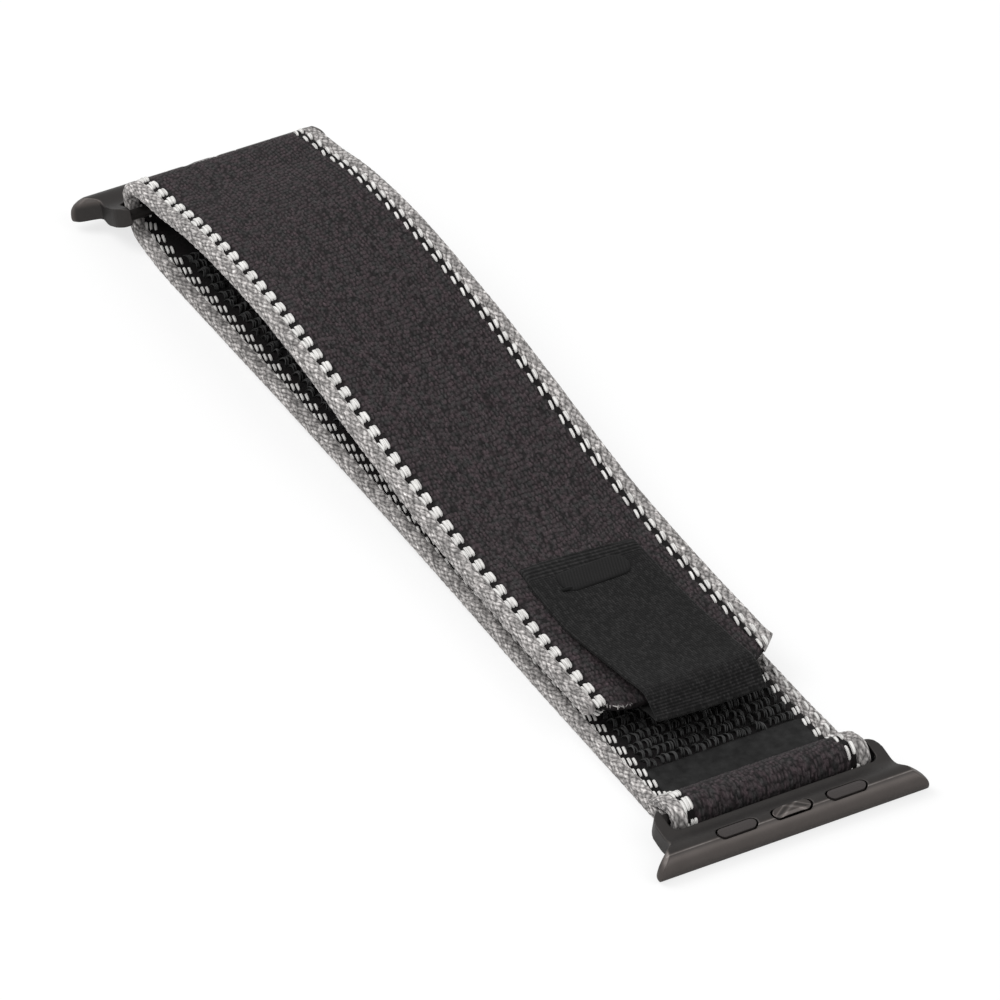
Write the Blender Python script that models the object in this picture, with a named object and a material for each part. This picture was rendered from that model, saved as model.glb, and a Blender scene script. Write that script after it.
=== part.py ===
"""Fabric watch strap with a hook-and-loop closure, lying flat as it is stored.

One webbing starts at the fixed-end lug (+X), lies along the floor, passes up through the
loop-end lug (-X), folds back over its bar and ends on top, where a hook patch grips the pile
of the lower layer. X runs along the strap, Y across it, Z up. The floor is at Z = 0.
"""
import math

import bmesh
import bpy
from mathutils import Matrix, Vector

MM = 0.001

# Overall size and how each end lies
LENGTH = 137.0 * MM
NEAR_TILT = math.radians(12.0)
FAR_TILT = math.radians(24.5)
NEAR_BAR_HEIGHT = 2.09 * MM
FAR_BAR_HEIGHT = 4.31 * MM

# Webbing
WEB_WIDTH = 24.0 * MM
WEB_THICK = 1.4 * MM
EDGE_THICK = 1.4 * MM
PILE_THICK = 0.75 * MM
PILE_MARGIN = 2.05 * MM
HOOK_THICK = 0.7 * MM
LAYER_GAP = 0.25 * MM
CUT_GAP = 0.35 * MM
LOWER_HUMP = 0.6 * MM
ARCH_RISE = 6.0 * MM

# Wrap at the fixed end
WRAP_THICK = 1.1 * MM
WRAP_GAP = 0.2 * MM
WRAP_TAIL = 4.0 * MM
BOND_LENGTH = 4.3 * MM
BOND_THICK = 0.3 * MM

# Lug
RAIL_OVERHANG = 4.5 * MM
RAIL_END_LEAN = 1.6 * MM
RAIL_END_ROUND = 0.35 * MM
RAIL_TOP = 1.36 * MM
RAIL_BOTTOM = 1.4 * MM
LIP_REACH = 1.15 * MM
RIDGE_REACH = 0.3 * MM
RIDGE_ROUND = 0.35 * MM
LIP_ROUND = 0.3 * MM
PLATE_TOP = 0.2 * MM
PLATE_BOTTOM = 2.05 * MM
TOP_SWEEP_FROM = 0.3 * MM
TOP_SWEEP_TO = 3.3 * MM
BOTTOM_SWEEP_FROM = 1.2 * MM
BOTTOM_SWEEP_TO = 3.2 * MM
ARM_WALL = 1.4 * MM
ARM_END = 7.2 * MM
ARM_CORNER = 2.6 * MM
FLARE_FROM = 0.75 * MM
FLARE_TO = 1.6 * MM
RAIL_CORNER = 0.5 * MM
SLOT_OUTER = 3.45 * MM
SLOT_PLAY = 0.65 * MM
SLOT_ROUND = 0.9 * MM
BAR_BACK = 5.95 * MM
BAR_RADIUS = 0.65 * MM
BAR_SEAT = 0.5 * MM

# Pads and latch in the rail
PILL_LENGTH = 4.6 * MM
PILL_WIDTH = 1.3 * MM
PILL_GAP = 0.12 * MM
PILL_PITCH = 6.74 * MM
PILL_BACK = 0.45 * MM
PAD_DEPTH = 0.85 * MM
LATCH_RISE = 0.3 * MM
LATCH_CREST = 1.7 * MM
FLANGE_LENGTH = 5.6 * MM
FLANGE_THICK = 0.4 * MM
FLANGE_TOP = 0.3 * MM
SHOULDER_GAP = 0.1 * MM
PLUG_THICK = 0.42 * MM
PLUG_SET = 0.05 * MM
LEAF_THICK = 0.12 * MM
LEAF_WIDTH = 1.0 * MM

# Closure
HINGE_PEEL = 18.0 * MM
HINGE_NEAR = -2.0 * MM
HINGE_FAR = -32.0 * MM
STRAP_END = 44.7 * MM
END_CORNER = 1.8 * MM
FOLD_REACH = 6.3 * MM
HOOK_FROM = 21.0 * MM
HOOK_TO = 38.5 * MM
HOOK_LAP = 0.3 * MM
TAB_FROM = 20.6 * MM
TAB_TO = 50.1 * MM
TAB_UNDER = 40.0 * MM
TAB_WIDTH = 13.1 * MM
TAB_THICK = 0.4 * MM
TAB_SHIFT = 0.3 * MM
TACK_AT = 25.3 * MM
TACK_LENGTH = 9.3 * MM
TACK_WIDTH = 3.3 * MM
TACK_THICK = 0.4 * MM

OVERRUN = 1.0 * MM
# How the rail's ends lean: 1 is a straight line, and more starts upright
END_LEAN_SHARE = 1.3

# Shares of the bar-to-bar distance and of LOWER_HUMP: the lower layer's line, far end first
LOWER_SHARES = ((0.036, 0.13), (0.08, 0.0), (0.177, 0.33), (0.29, 0.67), (0.403, 0.85),
                (0.517, 1.0), (0.63, 0.7), (0.72, 0.2), (0.784, 0.0), (0.97, 0.0))
# Shares of the bar-to-bar distance and of ARCH_RISE: the upper layer's line, far end first
UPPER_SHARES = ((0.051, 0.69), (0.096, 0.858), (0.14, 0.958), (0.193, 1.0), (0.246, 0.99),
                (0.298, 0.908), (0.355, 0.767), (0.412, 0.575), (0.468, 0.417), (0.525, 0.283),
                (0.582, 0.158), (0.638, 0.075), (0.703, 0.025), (0.768, 0.0), (0.88, 0.0))
# Shares of a full turn and of the hugging distance: the fold round the loop-end bar
FOLD_SHARES = ((0.811, 1.99), (0.743, 1.475), (0.667, 1.06), (0.625, 1.0), (0.568, 1.0),
               (0.514, 1.0), (0.458, 1.0), (0.403, 1.0), (0.347, 1.02), (0.306, 1.16),
               (0.264, 1.44), (0.172, 2.12))

HALF_WEB = WEB_THICK / 2
EDGE_RADIUS = EDGE_THICK / 2
BODY_HALF = WEB_WIDTH / 2 - EDGE_THICK - CUT_GAP
PILE_WIDTH = 2 * (BODY_HALF - PILE_MARGIN)
HOOK_WIDTH = PILE_WIDTH + 2 * HOOK_LAP
RAIL_LENGTH = WEB_WIDTH + 2 * RAIL_OVERHANG
SLOT_HALF = WEB_WIDTH / 2 + SLOT_PLAY
ARM_WIDTH = 2 * (SLOT_HALF + ARM_WALL)
UPPER_REST = WEB_THICK * 1.5 + PILE_THICK + HOOK_THICK + 3 * LAYER_GAP
FOLD_HUG = (SLOT_OUTER + BAR_BACK) / 2 - SLOT_OUTER + BAR_RADIUS / 2
MID_PLATE = (PLATE_BOTTOM - PLATE_TOP) / 2


def clear_scene():
    for thing in list(bpy.data.objects):
        bpy.data.objects.remove(thing, do_unlink=True)
    for group in list(bpy.data.collections):
        bpy.data.collections.remove(group)


def new_collection(name):
    group = bpy.data.collections.new(name)
    bpy.context.scene.collection.children.link(group)
    return group


clear_scene()
PART = new_collection("watch_strap")
CUTTERS = new_collection("cutters")


def material(name, colour, roughness, metallic=0.0):
    """A plain Principled material in the photographed colour."""
    made = bpy.data.materials.new(name)
    made.use_nodes = True
    shader = made.node_tree.nodes["Principled BSDF"]
    shader.inputs["Base Color"].default_value = (*colour, 1.0)
    shader.inputs["Roughness"].default_value = roughness
    shader.inputs["Metallic"].default_value = metallic
    made.diffuse_color = (*colour, 1.0)
    return made


CHARCOAL = ("webbing", (0.036, 0.032, 0.034), 0.9)
HEATHER = ("selvedge", (0.24, 0.22, 0.22), 0.9)
BLACK_PILE = ("pile", (0.018, 0.017, 0.018), 0.95)
BLACK_HOOK = ("hook", (0.012, 0.012, 0.012), 0.7)
BLACK_BAND = ("band", (0.015, 0.015, 0.016), 0.6)
RIBBON = ("ribbon", (0.025, 0.024, 0.024), 0.85)
TACK = ("tack", (0.03, 0.029, 0.029), 0.5)
DARK_METAL = ("lug_metal", (0.062, 0.056, 0.053), 0.42, 1.0)
LATCH_METAL = ("latch_metal", (0.09, 0.083, 0.078), 0.35, 1.0)
SPRING_METAL = ("spring_metal", (0.45, 0.44, 0.42), 0.3, 1.0)
PAD_POLYMER = ("pad_polymer", (0.04, 0.034, 0.032), 0.6)


def finish(thing, name, look, parent=None):
    """Names an object, gives it its own material and puts it in its collection."""
    thing.name = name
    thing.data.name = name
    thing.data.materials.clear()
    thing.data.materials.append(material(name + "_" + look[0], *look[1:]))
    for used in list(thing.users_collection):
        used.objects.unlink(thing)
    PART.objects.link(thing)
    if parent is not None:
        thing.parent = parent
    return thing


def axis_empty(name, place):
    """An empty on a joint's axis, for the pieces that move about it."""
    empty = bpy.data.objects.new(name, None)
    PART.objects.link(empty)
    empty.location = place
    return empty


def hang(thing, empty):
    """Parents a piece to an empty and leaves the piece where it is."""
    thing.parent = empty
    thing.matrix_parent_inverse = Matrix.Translation(empty.location).inverted()


# Lines of the two layers

def smooth_line(points, steps):
    """A Catmull-Rom line through the points, with so many steps between each two."""
    line = []
    padded = [points[0]] + list(points) + [points[-1]]
    for i in range(1, len(padded) - 2):
        a, b, c, d = (Vector(p) for p in padded[i - 1:i + 3])
        for k in range(steps):
            t = k / steps
            line.append(0.5 * (2 * b + (c - a) * t + (2 * a - 5 * b + 4 * c - d) * t * t
                               + (3 * b - a - 3 * c + d) * t ** 3))
    line.append(Vector(padded[-2]))
    return line


def lug_frame(tilt, outward):
    """Turns lug coordinates, from the bar's axis, into the world's directions."""
    turn = Matrix.Rotation(tilt, 4, "Y")
    if outward < 0:
        turn = Matrix.Rotation(math.pi, 4, "Z") @ turn
    return turn


def lug_reach(tilt):
    """How far a lug reaches along X from its bar's axis."""
    lip = Vector((BAR_BACK + LIP_REACH, 0, MID_PLATE - RAIL_BOTTOM + LIP_ROUND))
    ridge = Vector((BAR_BACK + RIDGE_REACH, 0, MID_PLATE + RAIL_TOP - RIDGE_ROUND))
    turn = lug_frame(tilt, 1)
    return max((turn @ lip).x, (turn @ ridge).x)


NEAR_BAR = Vector((LENGTH / 2 - lug_reach(NEAR_TILT), 0, NEAR_BAR_HEIGHT))
FAR_BAR = Vector((-LENGTH / 2 + lug_reach(FAR_TILT), 0, FAR_BAR_HEIGHT))
SPAN = NEAR_BAR.x - FAR_BAR.x

LOWER_POINTS = [(FAR_BAR.x + s * SPAN, HALF_WEB + r * LOWER_HUMP) for s, r in LOWER_SHARES]
UPPER_POINTS = [(FAR_BAR.x + s * SPAN, UPPER_REST + r * ARCH_RISE) for s, r in UPPER_SHARES]
LINE_STEPS = 8
LOWER_LINE = smooth_line(LOWER_POINTS, LINE_STEPS)
UPPER_LINE = smooth_line(UPPER_POINTS, LINE_STEPS)


def height_on(line, x):
    """The line's height at x."""
    for a, b in zip(line, line[1:]):
        if a.x <= x <= b.x:
            return a.y + (b.y - a.y) * (x - a.x) / (b.x - a.x)
    return line[0].y if x < line[0].x else line[-1].y


def stretch(line, start, end, steps):
    """Evenly spaced points of a line from start to end."""
    xs = [start + (end - start) * k / steps for k in range(steps + 1)]
    return [Vector((x, height_on(line, x))) for x in xs]


def fold_points():
    """The webbing's line from the lower layer, round the loop-end bar, to the upper layer."""
    middle = [(FAR_BAR.x + d * FOLD_HUG * math.cos(turn * math.tau),
               FAR_BAR.z + d * FOLD_HUG * math.sin(turn * math.tau)) for turn, d in FOLD_SHARES]
    fold_x = FAR_BAR.x + FOLD_REACH
    low = (fold_x, height_on(LOWER_LINE, fold_x))
    high = (fold_x, height_on(UPPER_LINE, fold_x))
    return smooth_line([low] + middle + [high], 2)


def shifted(line, distance):
    """A line moved sideways by a distance, to its left as it runs."""
    moved = []
    for i, point in enumerate(line):
        before = line[max(i - 1, 0)]
        after = line[min(i + 1, len(line) - 1)]
        along = (after - before).normalized()
        moved.append(point + Vector((-along.y, along.x)) * distance)
    return moved


def band_outline(line, offset, thick):
    """The outline of a band of a thickness, its middle at an offset from a line."""
    upper = shifted(line, offset + thick / 2)
    lower = shifted(line, offset - thick / 2)
    return upper + lower[::-1]


# Makers of solids

def flat_curve(outlines, half):
    """A filled 2D curve of one or more closed outlines, extruded by half each way."""
    data = bpy.data.curves.new("outline", "CURVE")
    data.dimensions = "2D"
    data.fill_mode = "BOTH"
    data.extrude = half
    for outline in outlines:
        spline = data.splines.new("POLY")
        spline.points.add(len(outline) - 1)
        for point, place in zip(spline.points, outline):
            point.co = (place[0], place[1], 0.0, 1.0)
        spline.use_cyclic_u = True
    thing = bpy.data.objects.new("outline", data)
    bpy.context.scene.collection.objects.link(thing)
    return thing


UPRIGHT = Matrix.Rotation(math.pi / 2, 4, "X")


def standing(outlines, half, y=0.0):
    """A solid whose outline stands in the XZ plane and whose depth runs along Y."""
    thing = flat_curve(outlines, half)
    thing.matrix_world = Matrix.Translation((0, y, 0)) @ UPRIGHT
    return thing


def as_mesh(thing):
    """Turns a curve object into a welded mesh object with its place in its mesh."""
    bpy.context.view_layer.update()
    graph = bpy.context.evaluated_depsgraph_get()
    mesh = bpy.data.meshes.new_from_object(thing.evaluated_get(graph))
    mesh.transform(thing.matrix_world)
    work = bmesh.new()
    work.from_mesh(mesh)
    bmesh.ops.remove_doubles(work, verts=work.verts, dist=OVERRUN / 1000)
    bmesh.ops.recalc_face_normals(work, faces=work.faces)
    work.to_mesh(mesh)
    work.free()
    solid = bpy.data.objects.new("solid", mesh)
    bpy.context.scene.collection.objects.link(solid)
    bpy.data.objects.remove(thing, do_unlink=True)
    return solid


def combine(solid, other, operation):
    """Cuts, joins or intersects a solid with another, which becomes a cutter."""
    modifier = solid.modifiers.new(operation.lower(), "BOOLEAN")
    modifier.operation = operation
    modifier.object = other
    modifier.solver = "EXACT"
    other.hide_render = True
    other.display_type = "WIRE"
    for used in list(other.users_collection):
        used.objects.unlink(other)
    CUTTERS.objects.link(other)
    other.parent = solid.parent
    return solid


def settle(solid):
    """Applies a solid's modifiers, so that others can be cut by it."""
    bpy.context.view_layer.update()
    graph = bpy.context.evaluated_depsgraph_get()
    mesh = bpy.data.meshes.new_from_object(solid.evaluated_get(graph))
    solid.modifiers.clear()
    solid.data = mesh
    return solid


def tube(line, y, radius):
    """A round cord along a line in the XZ plane."""
    data = bpy.data.curves.new("cord", "CURVE")
    data.dimensions = "3D"
    data.bevel_depth = radius
    data.bevel_resolution = 2
    data.use_fill_caps = True
    spline = data.splines.new("POLY")
    spline.points.add(len(line) - 1)
    for point, place in zip(spline.points, line):
        point.co = (place[0], y, place[1], 1.0)
    thing = bpy.data.objects.new("cord", data)
    bpy.context.scene.collection.objects.link(thing)
    return thing


def round_corner(centre, radius, start, end, steps):
    """Points of an arc, its angles in degrees."""
    points = []
    for k in range(steps + 1):
        angle = math.radians(start + (end - start) * k / steps)
        points.append((centre[0] + radius * math.cos(angle), centre[1] + radius * math.sin(angle)))
    return points


def ease(start, end, steps):
    """Points of a smooth step from one point to another, level at both ends."""
    points = []
    for k in range(steps + 1):
        share = k / steps
        rise = (1 - math.cos(math.pi * share)) / 2
        points.append((start[0] + (end[0] - start[0]) * share,
                       start[1] + (end[1] - start[1]) * rise))
    return points


def pill(centre, length, width):
    """An oblong outline with round ends, long along the second axis."""
    half = (length - width) / 2
    top = round_corner((centre[0], centre[1] + half), width / 2, 0, 180, 8)
    bottom = round_corner((centre[0], centre[1] - half), width / 2, 180, 360, 8)
    return top + bottom


# Webbing: each segment is a flat body between two edge cords

EDGE_Y = WEB_WIDTH / 2 - EDGE_RADIUS


def webbing(name, line, cord_line=None):
    """One segment of the webbing with its left and right edge cords."""
    body = standing([band_outline(line, 0.0, WEB_THICK)], BODY_HALF)
    made = [finish(body, name, CHARCOAL)]
    for side, y in (("left", -EDGE_Y), ("right", EDGE_Y)):
        cord = tube(cord_line or line, y, EDGE_RADIUS)
        made.append(finish(cord, name + "_edge_" + side, HEATHER))
    return made


HALF_CUT = CUT_GAP / 2
FOLD_X = FAR_BAR.x + FOLD_REACH
WRAP_X = NEAR_BAR.x - WRAP_TAIL

FAR_PIECES = webbing("bar_fold", fold_points())
FAR_PIECES += webbing("lower_far", stretch(LOWER_LINE, FOLD_X + CUT_GAP,
                                           HINGE_FAR - HALF_CUT, 7))
FAR_PIECES += webbing("upper_far", stretch(UPPER_LINE, FOLD_X + CUT_GAP,
                                           HINGE_FAR - HALF_CUT, 8))
MIDDLE_PIECES = webbing("lower_middle", stretch(LOWER_LINE, HINGE_FAR + HALF_CUT,
                                                HINGE_NEAR - HALF_CUT, 6))
MIDDLE_PIECES += webbing("upper_middle", stretch(UPPER_LINE, HINGE_FAR + HALF_CUT,
                                                 HINGE_NEAR - HALF_CUT, 9))
webbing("lower_near", stretch(LOWER_LINE, HINGE_NEAR + HALF_CUT, WRAP_X - CUT_GAP, 12))
webbing("upper_near", stretch(UPPER_LINE, HINGE_NEAR + HALF_CUT, HINGE_PEEL - HALF_CUT, 6))
END_PIECES = webbing("free_end",
                     stretch(UPPER_LINE, HINGE_PEEL + HALF_CUT, STRAP_END, 5),
                     stretch(UPPER_LINE, HINGE_PEEL + HALF_CUT, STRAP_END - END_CORNER, 5))


# Pile on the inner face of both layers

def pile(name, line_source, start, end, below, steps):
    """A strip of loop pile on the lower layer's top or the upper layer's underside."""
    line = stretch(line_source, start, end, steps)
    offset = HALF_WEB + LAYER_GAP + PILE_THICK / 2
    outline = band_outline(line, -offset if below else offset, PILE_THICK)
    return finish(standing([outline], PILE_WIDTH / 2), name, BLACK_PILE)


PILE_END = WRAP_X - CUT_GAP - BOND_LENGTH - CUT_GAP
PILE_FROM = FOLD_X + CUT_GAP
FAR_PIECES += [
    pile("pile_lower_far", LOWER_LINE, PILE_FROM, HINGE_FAR - HALF_CUT, False, 5),
    pile("pile_upper_far", UPPER_LINE, PILE_FROM, HINGE_FAR - CUT_GAP, True, 6)]
MIDDLE_PIECES += [
    pile("pile_lower_middle", LOWER_LINE, HINGE_FAR + HALF_CUT, HINGE_NEAR - HALF_CUT, False, 5),
    pile("pile_upper_middle", UPPER_LINE, HINGE_FAR + CUT_GAP, HINGE_NEAR - CUT_GAP, True, 7)]
pile("pile_lower_near", LOWER_LINE, HINGE_NEAR + HALF_CUT, PILE_END, False, 9)
pile("pile_upper_near", UPPER_LINE, HINGE_NEAR + CUT_GAP, HINGE_PEEL - CUT_GAP, True, 5)


def bond_band():
    """The smooth band between the pile and the wrap."""
    line = stretch(LOWER_LINE, WRAP_X - CUT_GAP - BOND_LENGTH, WRAP_X - CUT_GAP, 1)
    outline = band_outline(line, HALF_WEB + LAYER_GAP + BOND_THICK / 2, BOND_THICK)
    finish(standing([outline], BODY_HALF), "bond_band", BLACK_BAND)


bond_band()


# Wrap round the fixed-end bar

def wrap_outlines():
    """The wrap's outer outline and the hole that the bar turns in."""
    hole = BAR_RADIUS + WRAP_GAP
    outer = hole + WRAP_THICK
    centre = (NEAR_BAR.x, NEAR_BAR.z)
    floor_z = HALF_WEB - WEB_THICK / 2
    low_z = max(NEAR_BAR.z - outer, floor_z)
    tail_top = floor_z + WEB_THICK + WRAP_THICK / 2
    outside = [(WRAP_X, floor_z), (NEAR_BAR.x - outer, floor_z)]
    outside += round_corner(centre, outer, -75, 118, 16)
    outside += [(WRAP_X + WRAP_THICK / 2, tail_top + WRAP_THICK / 4), (WRAP_X, tail_top)]
    inside = round_corner(centre, hole, -125, 125, 18)
    inside.append((NEAR_BAR.x - outer, (low_z + NEAR_BAR.z) / 2 + WRAP_THICK / 4))
    return [outside, inside]


def end_wrap():
    """The webbing's end folded round the bar, with its two edges."""
    finish(standing(wrap_outlines(), BODY_HALF), "end_wrap", CHARCOAL)
    half = (WEB_WIDTH / 2 - BODY_HALF - CUT_GAP) / 2
    middle = WEB_WIDTH / 2 - half
    for side, y in (("left", -middle), ("right", middle)):
        finish(standing(wrap_outlines(), half, y), "end_wrap_edge_" + side, HEATHER)


end_wrap()


# Hook patch, pull tab and tack on the free end

def hook_patch():
    """The strip of hooks beneath the free end."""
    line = stretch(UPPER_LINE, HOOK_FROM, HOOK_TO, 3)
    outline = band_outline(line, -(HALF_WEB + LAYER_GAP + HOOK_THICK / 2), HOOK_THICK)
    return finish(standing([outline], HOOK_WIDTH / 2), "hook_patch", BLACK_HOOK)


def pull_tab():
    """A ribbon along the top of the free end, round its end and back beneath it."""
    top = HALF_WEB + LAYER_GAP + TAB_THICK / 2
    upper = shifted(stretch(UPPER_LINE, TAB_FROM, STRAP_END, 5), top)
    under = shifted(stretch(UPPER_LINE, TAB_UNDER, STRAP_END, 2), -top)
    rest = height_on(UPPER_LINE, STRAP_END)
    turn = TAB_THICK
    tip = (TAB_TO - TAB_THICK / 2, rest)
    ends = [(tip[0] - turn, rest + turn), tip, (tip[0] - turn, rest - turn)]
    line = upper + [Vector(p) for p in ends] + under[::-1]
    outline = band_outline(line, 0.0, TAB_THICK)
    return finish(standing([outline], TAB_WIDTH / 2, TAB_SHIFT), "pull_tab", RIBBON)


def bar_tack():
    """The raised oblong that holds the tab."""
    solid = flat_curve([pill((TACK_AT, TAB_SHIFT), TACK_LENGTH, TACK_WIDTH)], TACK_THICK / 2)
    slope = (height_on(UPPER_LINE, TACK_AT + TACK_WIDTH / 2)
             - height_on(UPPER_LINE, TACK_AT - TACK_WIDTH / 2)) / TACK_WIDTH
    base = height_on(UPPER_LINE, TACK_AT) + HALF_WEB + 2 * LAYER_GAP + TAB_THICK
    place = Matrix.Translation((TACK_AT, 0, base + TACK_THICK / 2))
    lean = Matrix.Rotation(-math.atan(slope), 4, "Y")
    solid.matrix_world = place @ lean @ Matrix.Translation((-TACK_AT, 0, 0))
    return finish(solid, "bar_tack", TACK)


END_PIECES += [hook_patch(), pull_tab(), bar_tack()]


# Joint axes of the strap, on the upper layer's top face

def top_face(x):
    """A point on the upper layer's top face at x."""
    return Vector((x, 0, height_on(UPPER_LINE, x) + HALF_WEB))


for axis_name, axis_x, pieces in (("peel_axis", HINGE_PEEL, END_PIECES),
                                  ("near_bend_axis", HINGE_NEAR, MIDDLE_PIECES),
                                  ("far_bend_axis", HINGE_FAR, FAR_PIECES)):
    pivot = axis_empty(axis_name, top_face(axis_x))
    for piece in pieces:
        hang(piece, pivot)


# Lug: its own axes are outward, across and up, from its bar's axis

def lug_point(outward, up):
    """From the rail's middle to the bar's axis."""
    return (outward + BAR_BACK, up + MID_PLATE)


def lug_section():
    """The lug's outline seen from its end: rail, neck, plate and arm."""
    arm = (PLATE_TOP + PLATE_BOTTOM) / 2
    points = round_corner((-ARM_END + arm, PLATE_TOP - arm), arm, 270, 90, 8)
    points += ease((-TOP_SWEEP_TO, PLATE_TOP), (-TOP_SWEEP_FROM, RAIL_TOP), 8)
    points += round_corner((RIDGE_REACH - RIDGE_ROUND, RAIL_TOP - RIDGE_ROUND), RIDGE_ROUND,
                           80, 20, 3)
    points += round_corner((LIP_REACH - LIP_ROUND, LIP_ROUND - RAIL_BOTTOM), LIP_ROUND,
                           15, -90, 4)
    points += ease((-BOTTOM_SWEEP_FROM, -RAIL_BOTTOM), (-BOTTOM_SWEEP_TO, -PLATE_BOTTOM), 6)
    return [lug_point(*p) for p in points]


def lug_plan():
    """The lug's outline seen from above."""
    half_rail = RAIL_LENGTH / 2
    half_arm = ARM_WIDTH / 2
    side = round_corner((LIP_REACH + LIP_ROUND - RAIL_CORNER, half_rail - RAIL_CORNER),
                        RAIL_CORNER, 0, 90, 4)
    side += ease((FLARE_FROM - RAIL_CORNER, half_rail), (-FLARE_TO, half_arm), 8)
    side += round_corner((-ARM_END + ARM_CORNER, half_arm - ARM_CORNER), ARM_CORNER, 90, 180, 6)
    other = [(x, -y) for x, y in reversed(side)]
    return [(x + BAR_BACK, y) for x, y in side + other]


def lug_front():
    """The lug's outline seen from its rail: each end leans in towards the ridge."""
    half = RAIL_LENGTH / 2
    low = RAIL_END_ROUND - RAIL_BOTTOM
    steps = 8
    side = [(half - RAIL_END_ROUND, -RAIL_BOTTOM - OVERRUN)]
    side += round_corner((half - RAIL_END_ROUND, low), RAIL_END_ROUND, -90, 0, 4)
    for k in range(1, steps + 1):
        share = k / steps
        side.append((half - RAIL_END_LEAN * share ** END_LEAN_SHARE,
                     low + (RAIL_TOP - low) * share))
    side.append((half - RAIL_END_LEAN, RAIL_TOP + OVERRUN))
    points = side + [(-y, w) for y, w in reversed(side)]
    return [(y, w + MID_PLATE) for y, w in points]


def slot_plan():
    """The opening between the plate and the ends of the arms, with round outer corners."""
    outer = -SLOT_OUTER
    corner = SLOT_HALF - SLOT_ROUND
    side = round_corner((outer - SLOT_ROUND, corner), SLOT_ROUND, 0, 90, 5)
    side.append((-ARM_END - OVERRUN, SLOT_HALF))
    other = [(x, -y) for x, y in reversed(side)]
    return [(x + BAR_BACK, y) for x, y in side + other]


def upright_prism(outline, low, high):
    """A prism along the lug's up axis, between two heights from the rail's middle."""
    thing = flat_curve([outline], (high - low) / 2)
    thing.matrix_world = Matrix.Translation((0, 0, (low + high) / 2 + MID_PLATE))
    return as_mesh(thing)


def section_prism(half):
    """The lug's section along its whole length."""
    return as_mesh(standing([lug_section()], half))


def front_prism():
    """The outline seen from the rail, taken back past the arms."""
    thing = flat_curve([lug_front()], BAR_BACK + ARM_END)
    thing.matrix_world = Matrix.Rotation(math.pi / 2, 4, "Z") @ UPRIGHT
    return as_mesh(thing)


def crossbar():
    """The round bar that the webbing turns round."""
    half = SLOT_HALF + BAR_SEAT
    bpy.ops.mesh.primitive_cylinder_add(vertices=20, radius=BAR_RADIUS, depth=2 * half)
    bar = bpy.context.object
    bar.data.transform(Matrix.Rotation(math.pi / 2, 4, "X"))
    return bar


PILL_X = BAR_BACK - PILL_BACK
HOLE_LENGTH = PILL_LENGTH + 2 * PILL_GAP
HOLE_WIDTH = PILL_WIDTH + 2 * PILL_GAP
POCKET_LENGTH = FLANGE_LENGTH + 2 * PILL_GAP
SHOULDER = FLANGE_TOP + SHOULDER_GAP
PAD_FLOOR = RAIL_TOP - PAD_DEPTH - PILL_GAP


def lug_body(name, empty):
    """Rail, plate, arms and bar in one piece, with the pad recesses and the latch pocket."""
    body = section_prism(RAIL_LENGTH / 2 + OVERRUN)
    plan = upright_prism(lug_plan(), -PLATE_BOTTOM - OVERRUN, RAIL_TOP + OVERRUN)
    body = combine(body, plan, "INTERSECT")
    body = combine(body, front_prism(), "INTERSECT")
    slot = upright_prism(slot_plan(), -PLATE_BOTTOM - OVERRUN, RAIL_TOP + OVERRUN)
    body = combine(body, slot, "DIFFERENCE")
    body = combine(body, crossbar(), "UNION")
    for side in (-1, 1):
        recess = pill((PILL_X, side * PILL_PITCH), HOLE_LENGTH, HOLE_WIDTH)
        body = combine(body, upright_prism(recess, PAD_FLOOR, RAIL_TOP + OVERRUN), "DIFFERENCE")
    hole = upright_prism(pill((PILL_X, 0), HOLE_LENGTH, HOLE_WIDTH), 0, RAIL_TOP + OVERRUN)
    body = combine(body, hole, "DIFFERENCE")
    pocket = upright_prism(pill((PILL_X, 0), POCKET_LENGTH, HOLE_WIDTH),
                           -PLATE_BOTTOM - OVERRUN, SHOULDER)
    body = combine(body, pocket, "DIFFERENCE")
    finish(settle(body), name, DARK_METAL, empty)


def lug_pad(name, empty, y):
    """A soft pad, its top flush with the rail."""
    pad = upright_prism(pill((PILL_X, y), PILL_LENGTH, PILL_WIDTH), RAIL_TOP - PAD_DEPTH,
                        RAIL_TOP + OVERRUN)
    pad = combine(pad, section_prism(RAIL_LENGTH / 2), "INTERSECT")
    finish(settle(pad), name, PAD_POLYMER, empty)


def crown_front():
    """The latch's crown seen from the rail: two ramps and a crest."""
    half = PILL_LENGTH / 2 + OVERRUN
    crest = LATCH_CREST / 2
    top = RAIL_TOP + LATCH_RISE
    drop = LATCH_RISE * (half - crest) / (PILL_LENGTH / 2)
    side = [(half, FLANGE_TOP - FLANGE_THICK / 2), (half, top - drop), (crest, top)]
    points = side + [(-y, w) for y, w in reversed(side)]
    return [(y, w + MID_PLATE) for y, w in points]


def latch(name, empty):
    """The sprung latch, which slides down into the rail, with its flange."""
    thing = flat_curve([crown_front()], PILL_WIDTH)
    thing.matrix_world = (Matrix.Translation((PILL_X, 0, 0))
                          @ Matrix.Rotation(math.pi / 2, 4, "Z") @ UPRIGHT)
    body = as_mesh(thing)
    crown = upright_prism(pill((PILL_X, 0), PILL_LENGTH, PILL_WIDTH),
                          -RAIL_BOTTOM, RAIL_TOP + OVERRUN)
    body = combine(body, crown, "INTERSECT")
    flange = upright_prism(pill((PILL_X, 0), FLANGE_LENGTH, PILL_WIDTH),
                           FLANGE_TOP - FLANGE_THICK, FLANGE_TOP)
    body = combine(body, flange, "UNION")
    finish(settle(body), name, LATCH_METAL, empty)


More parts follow.
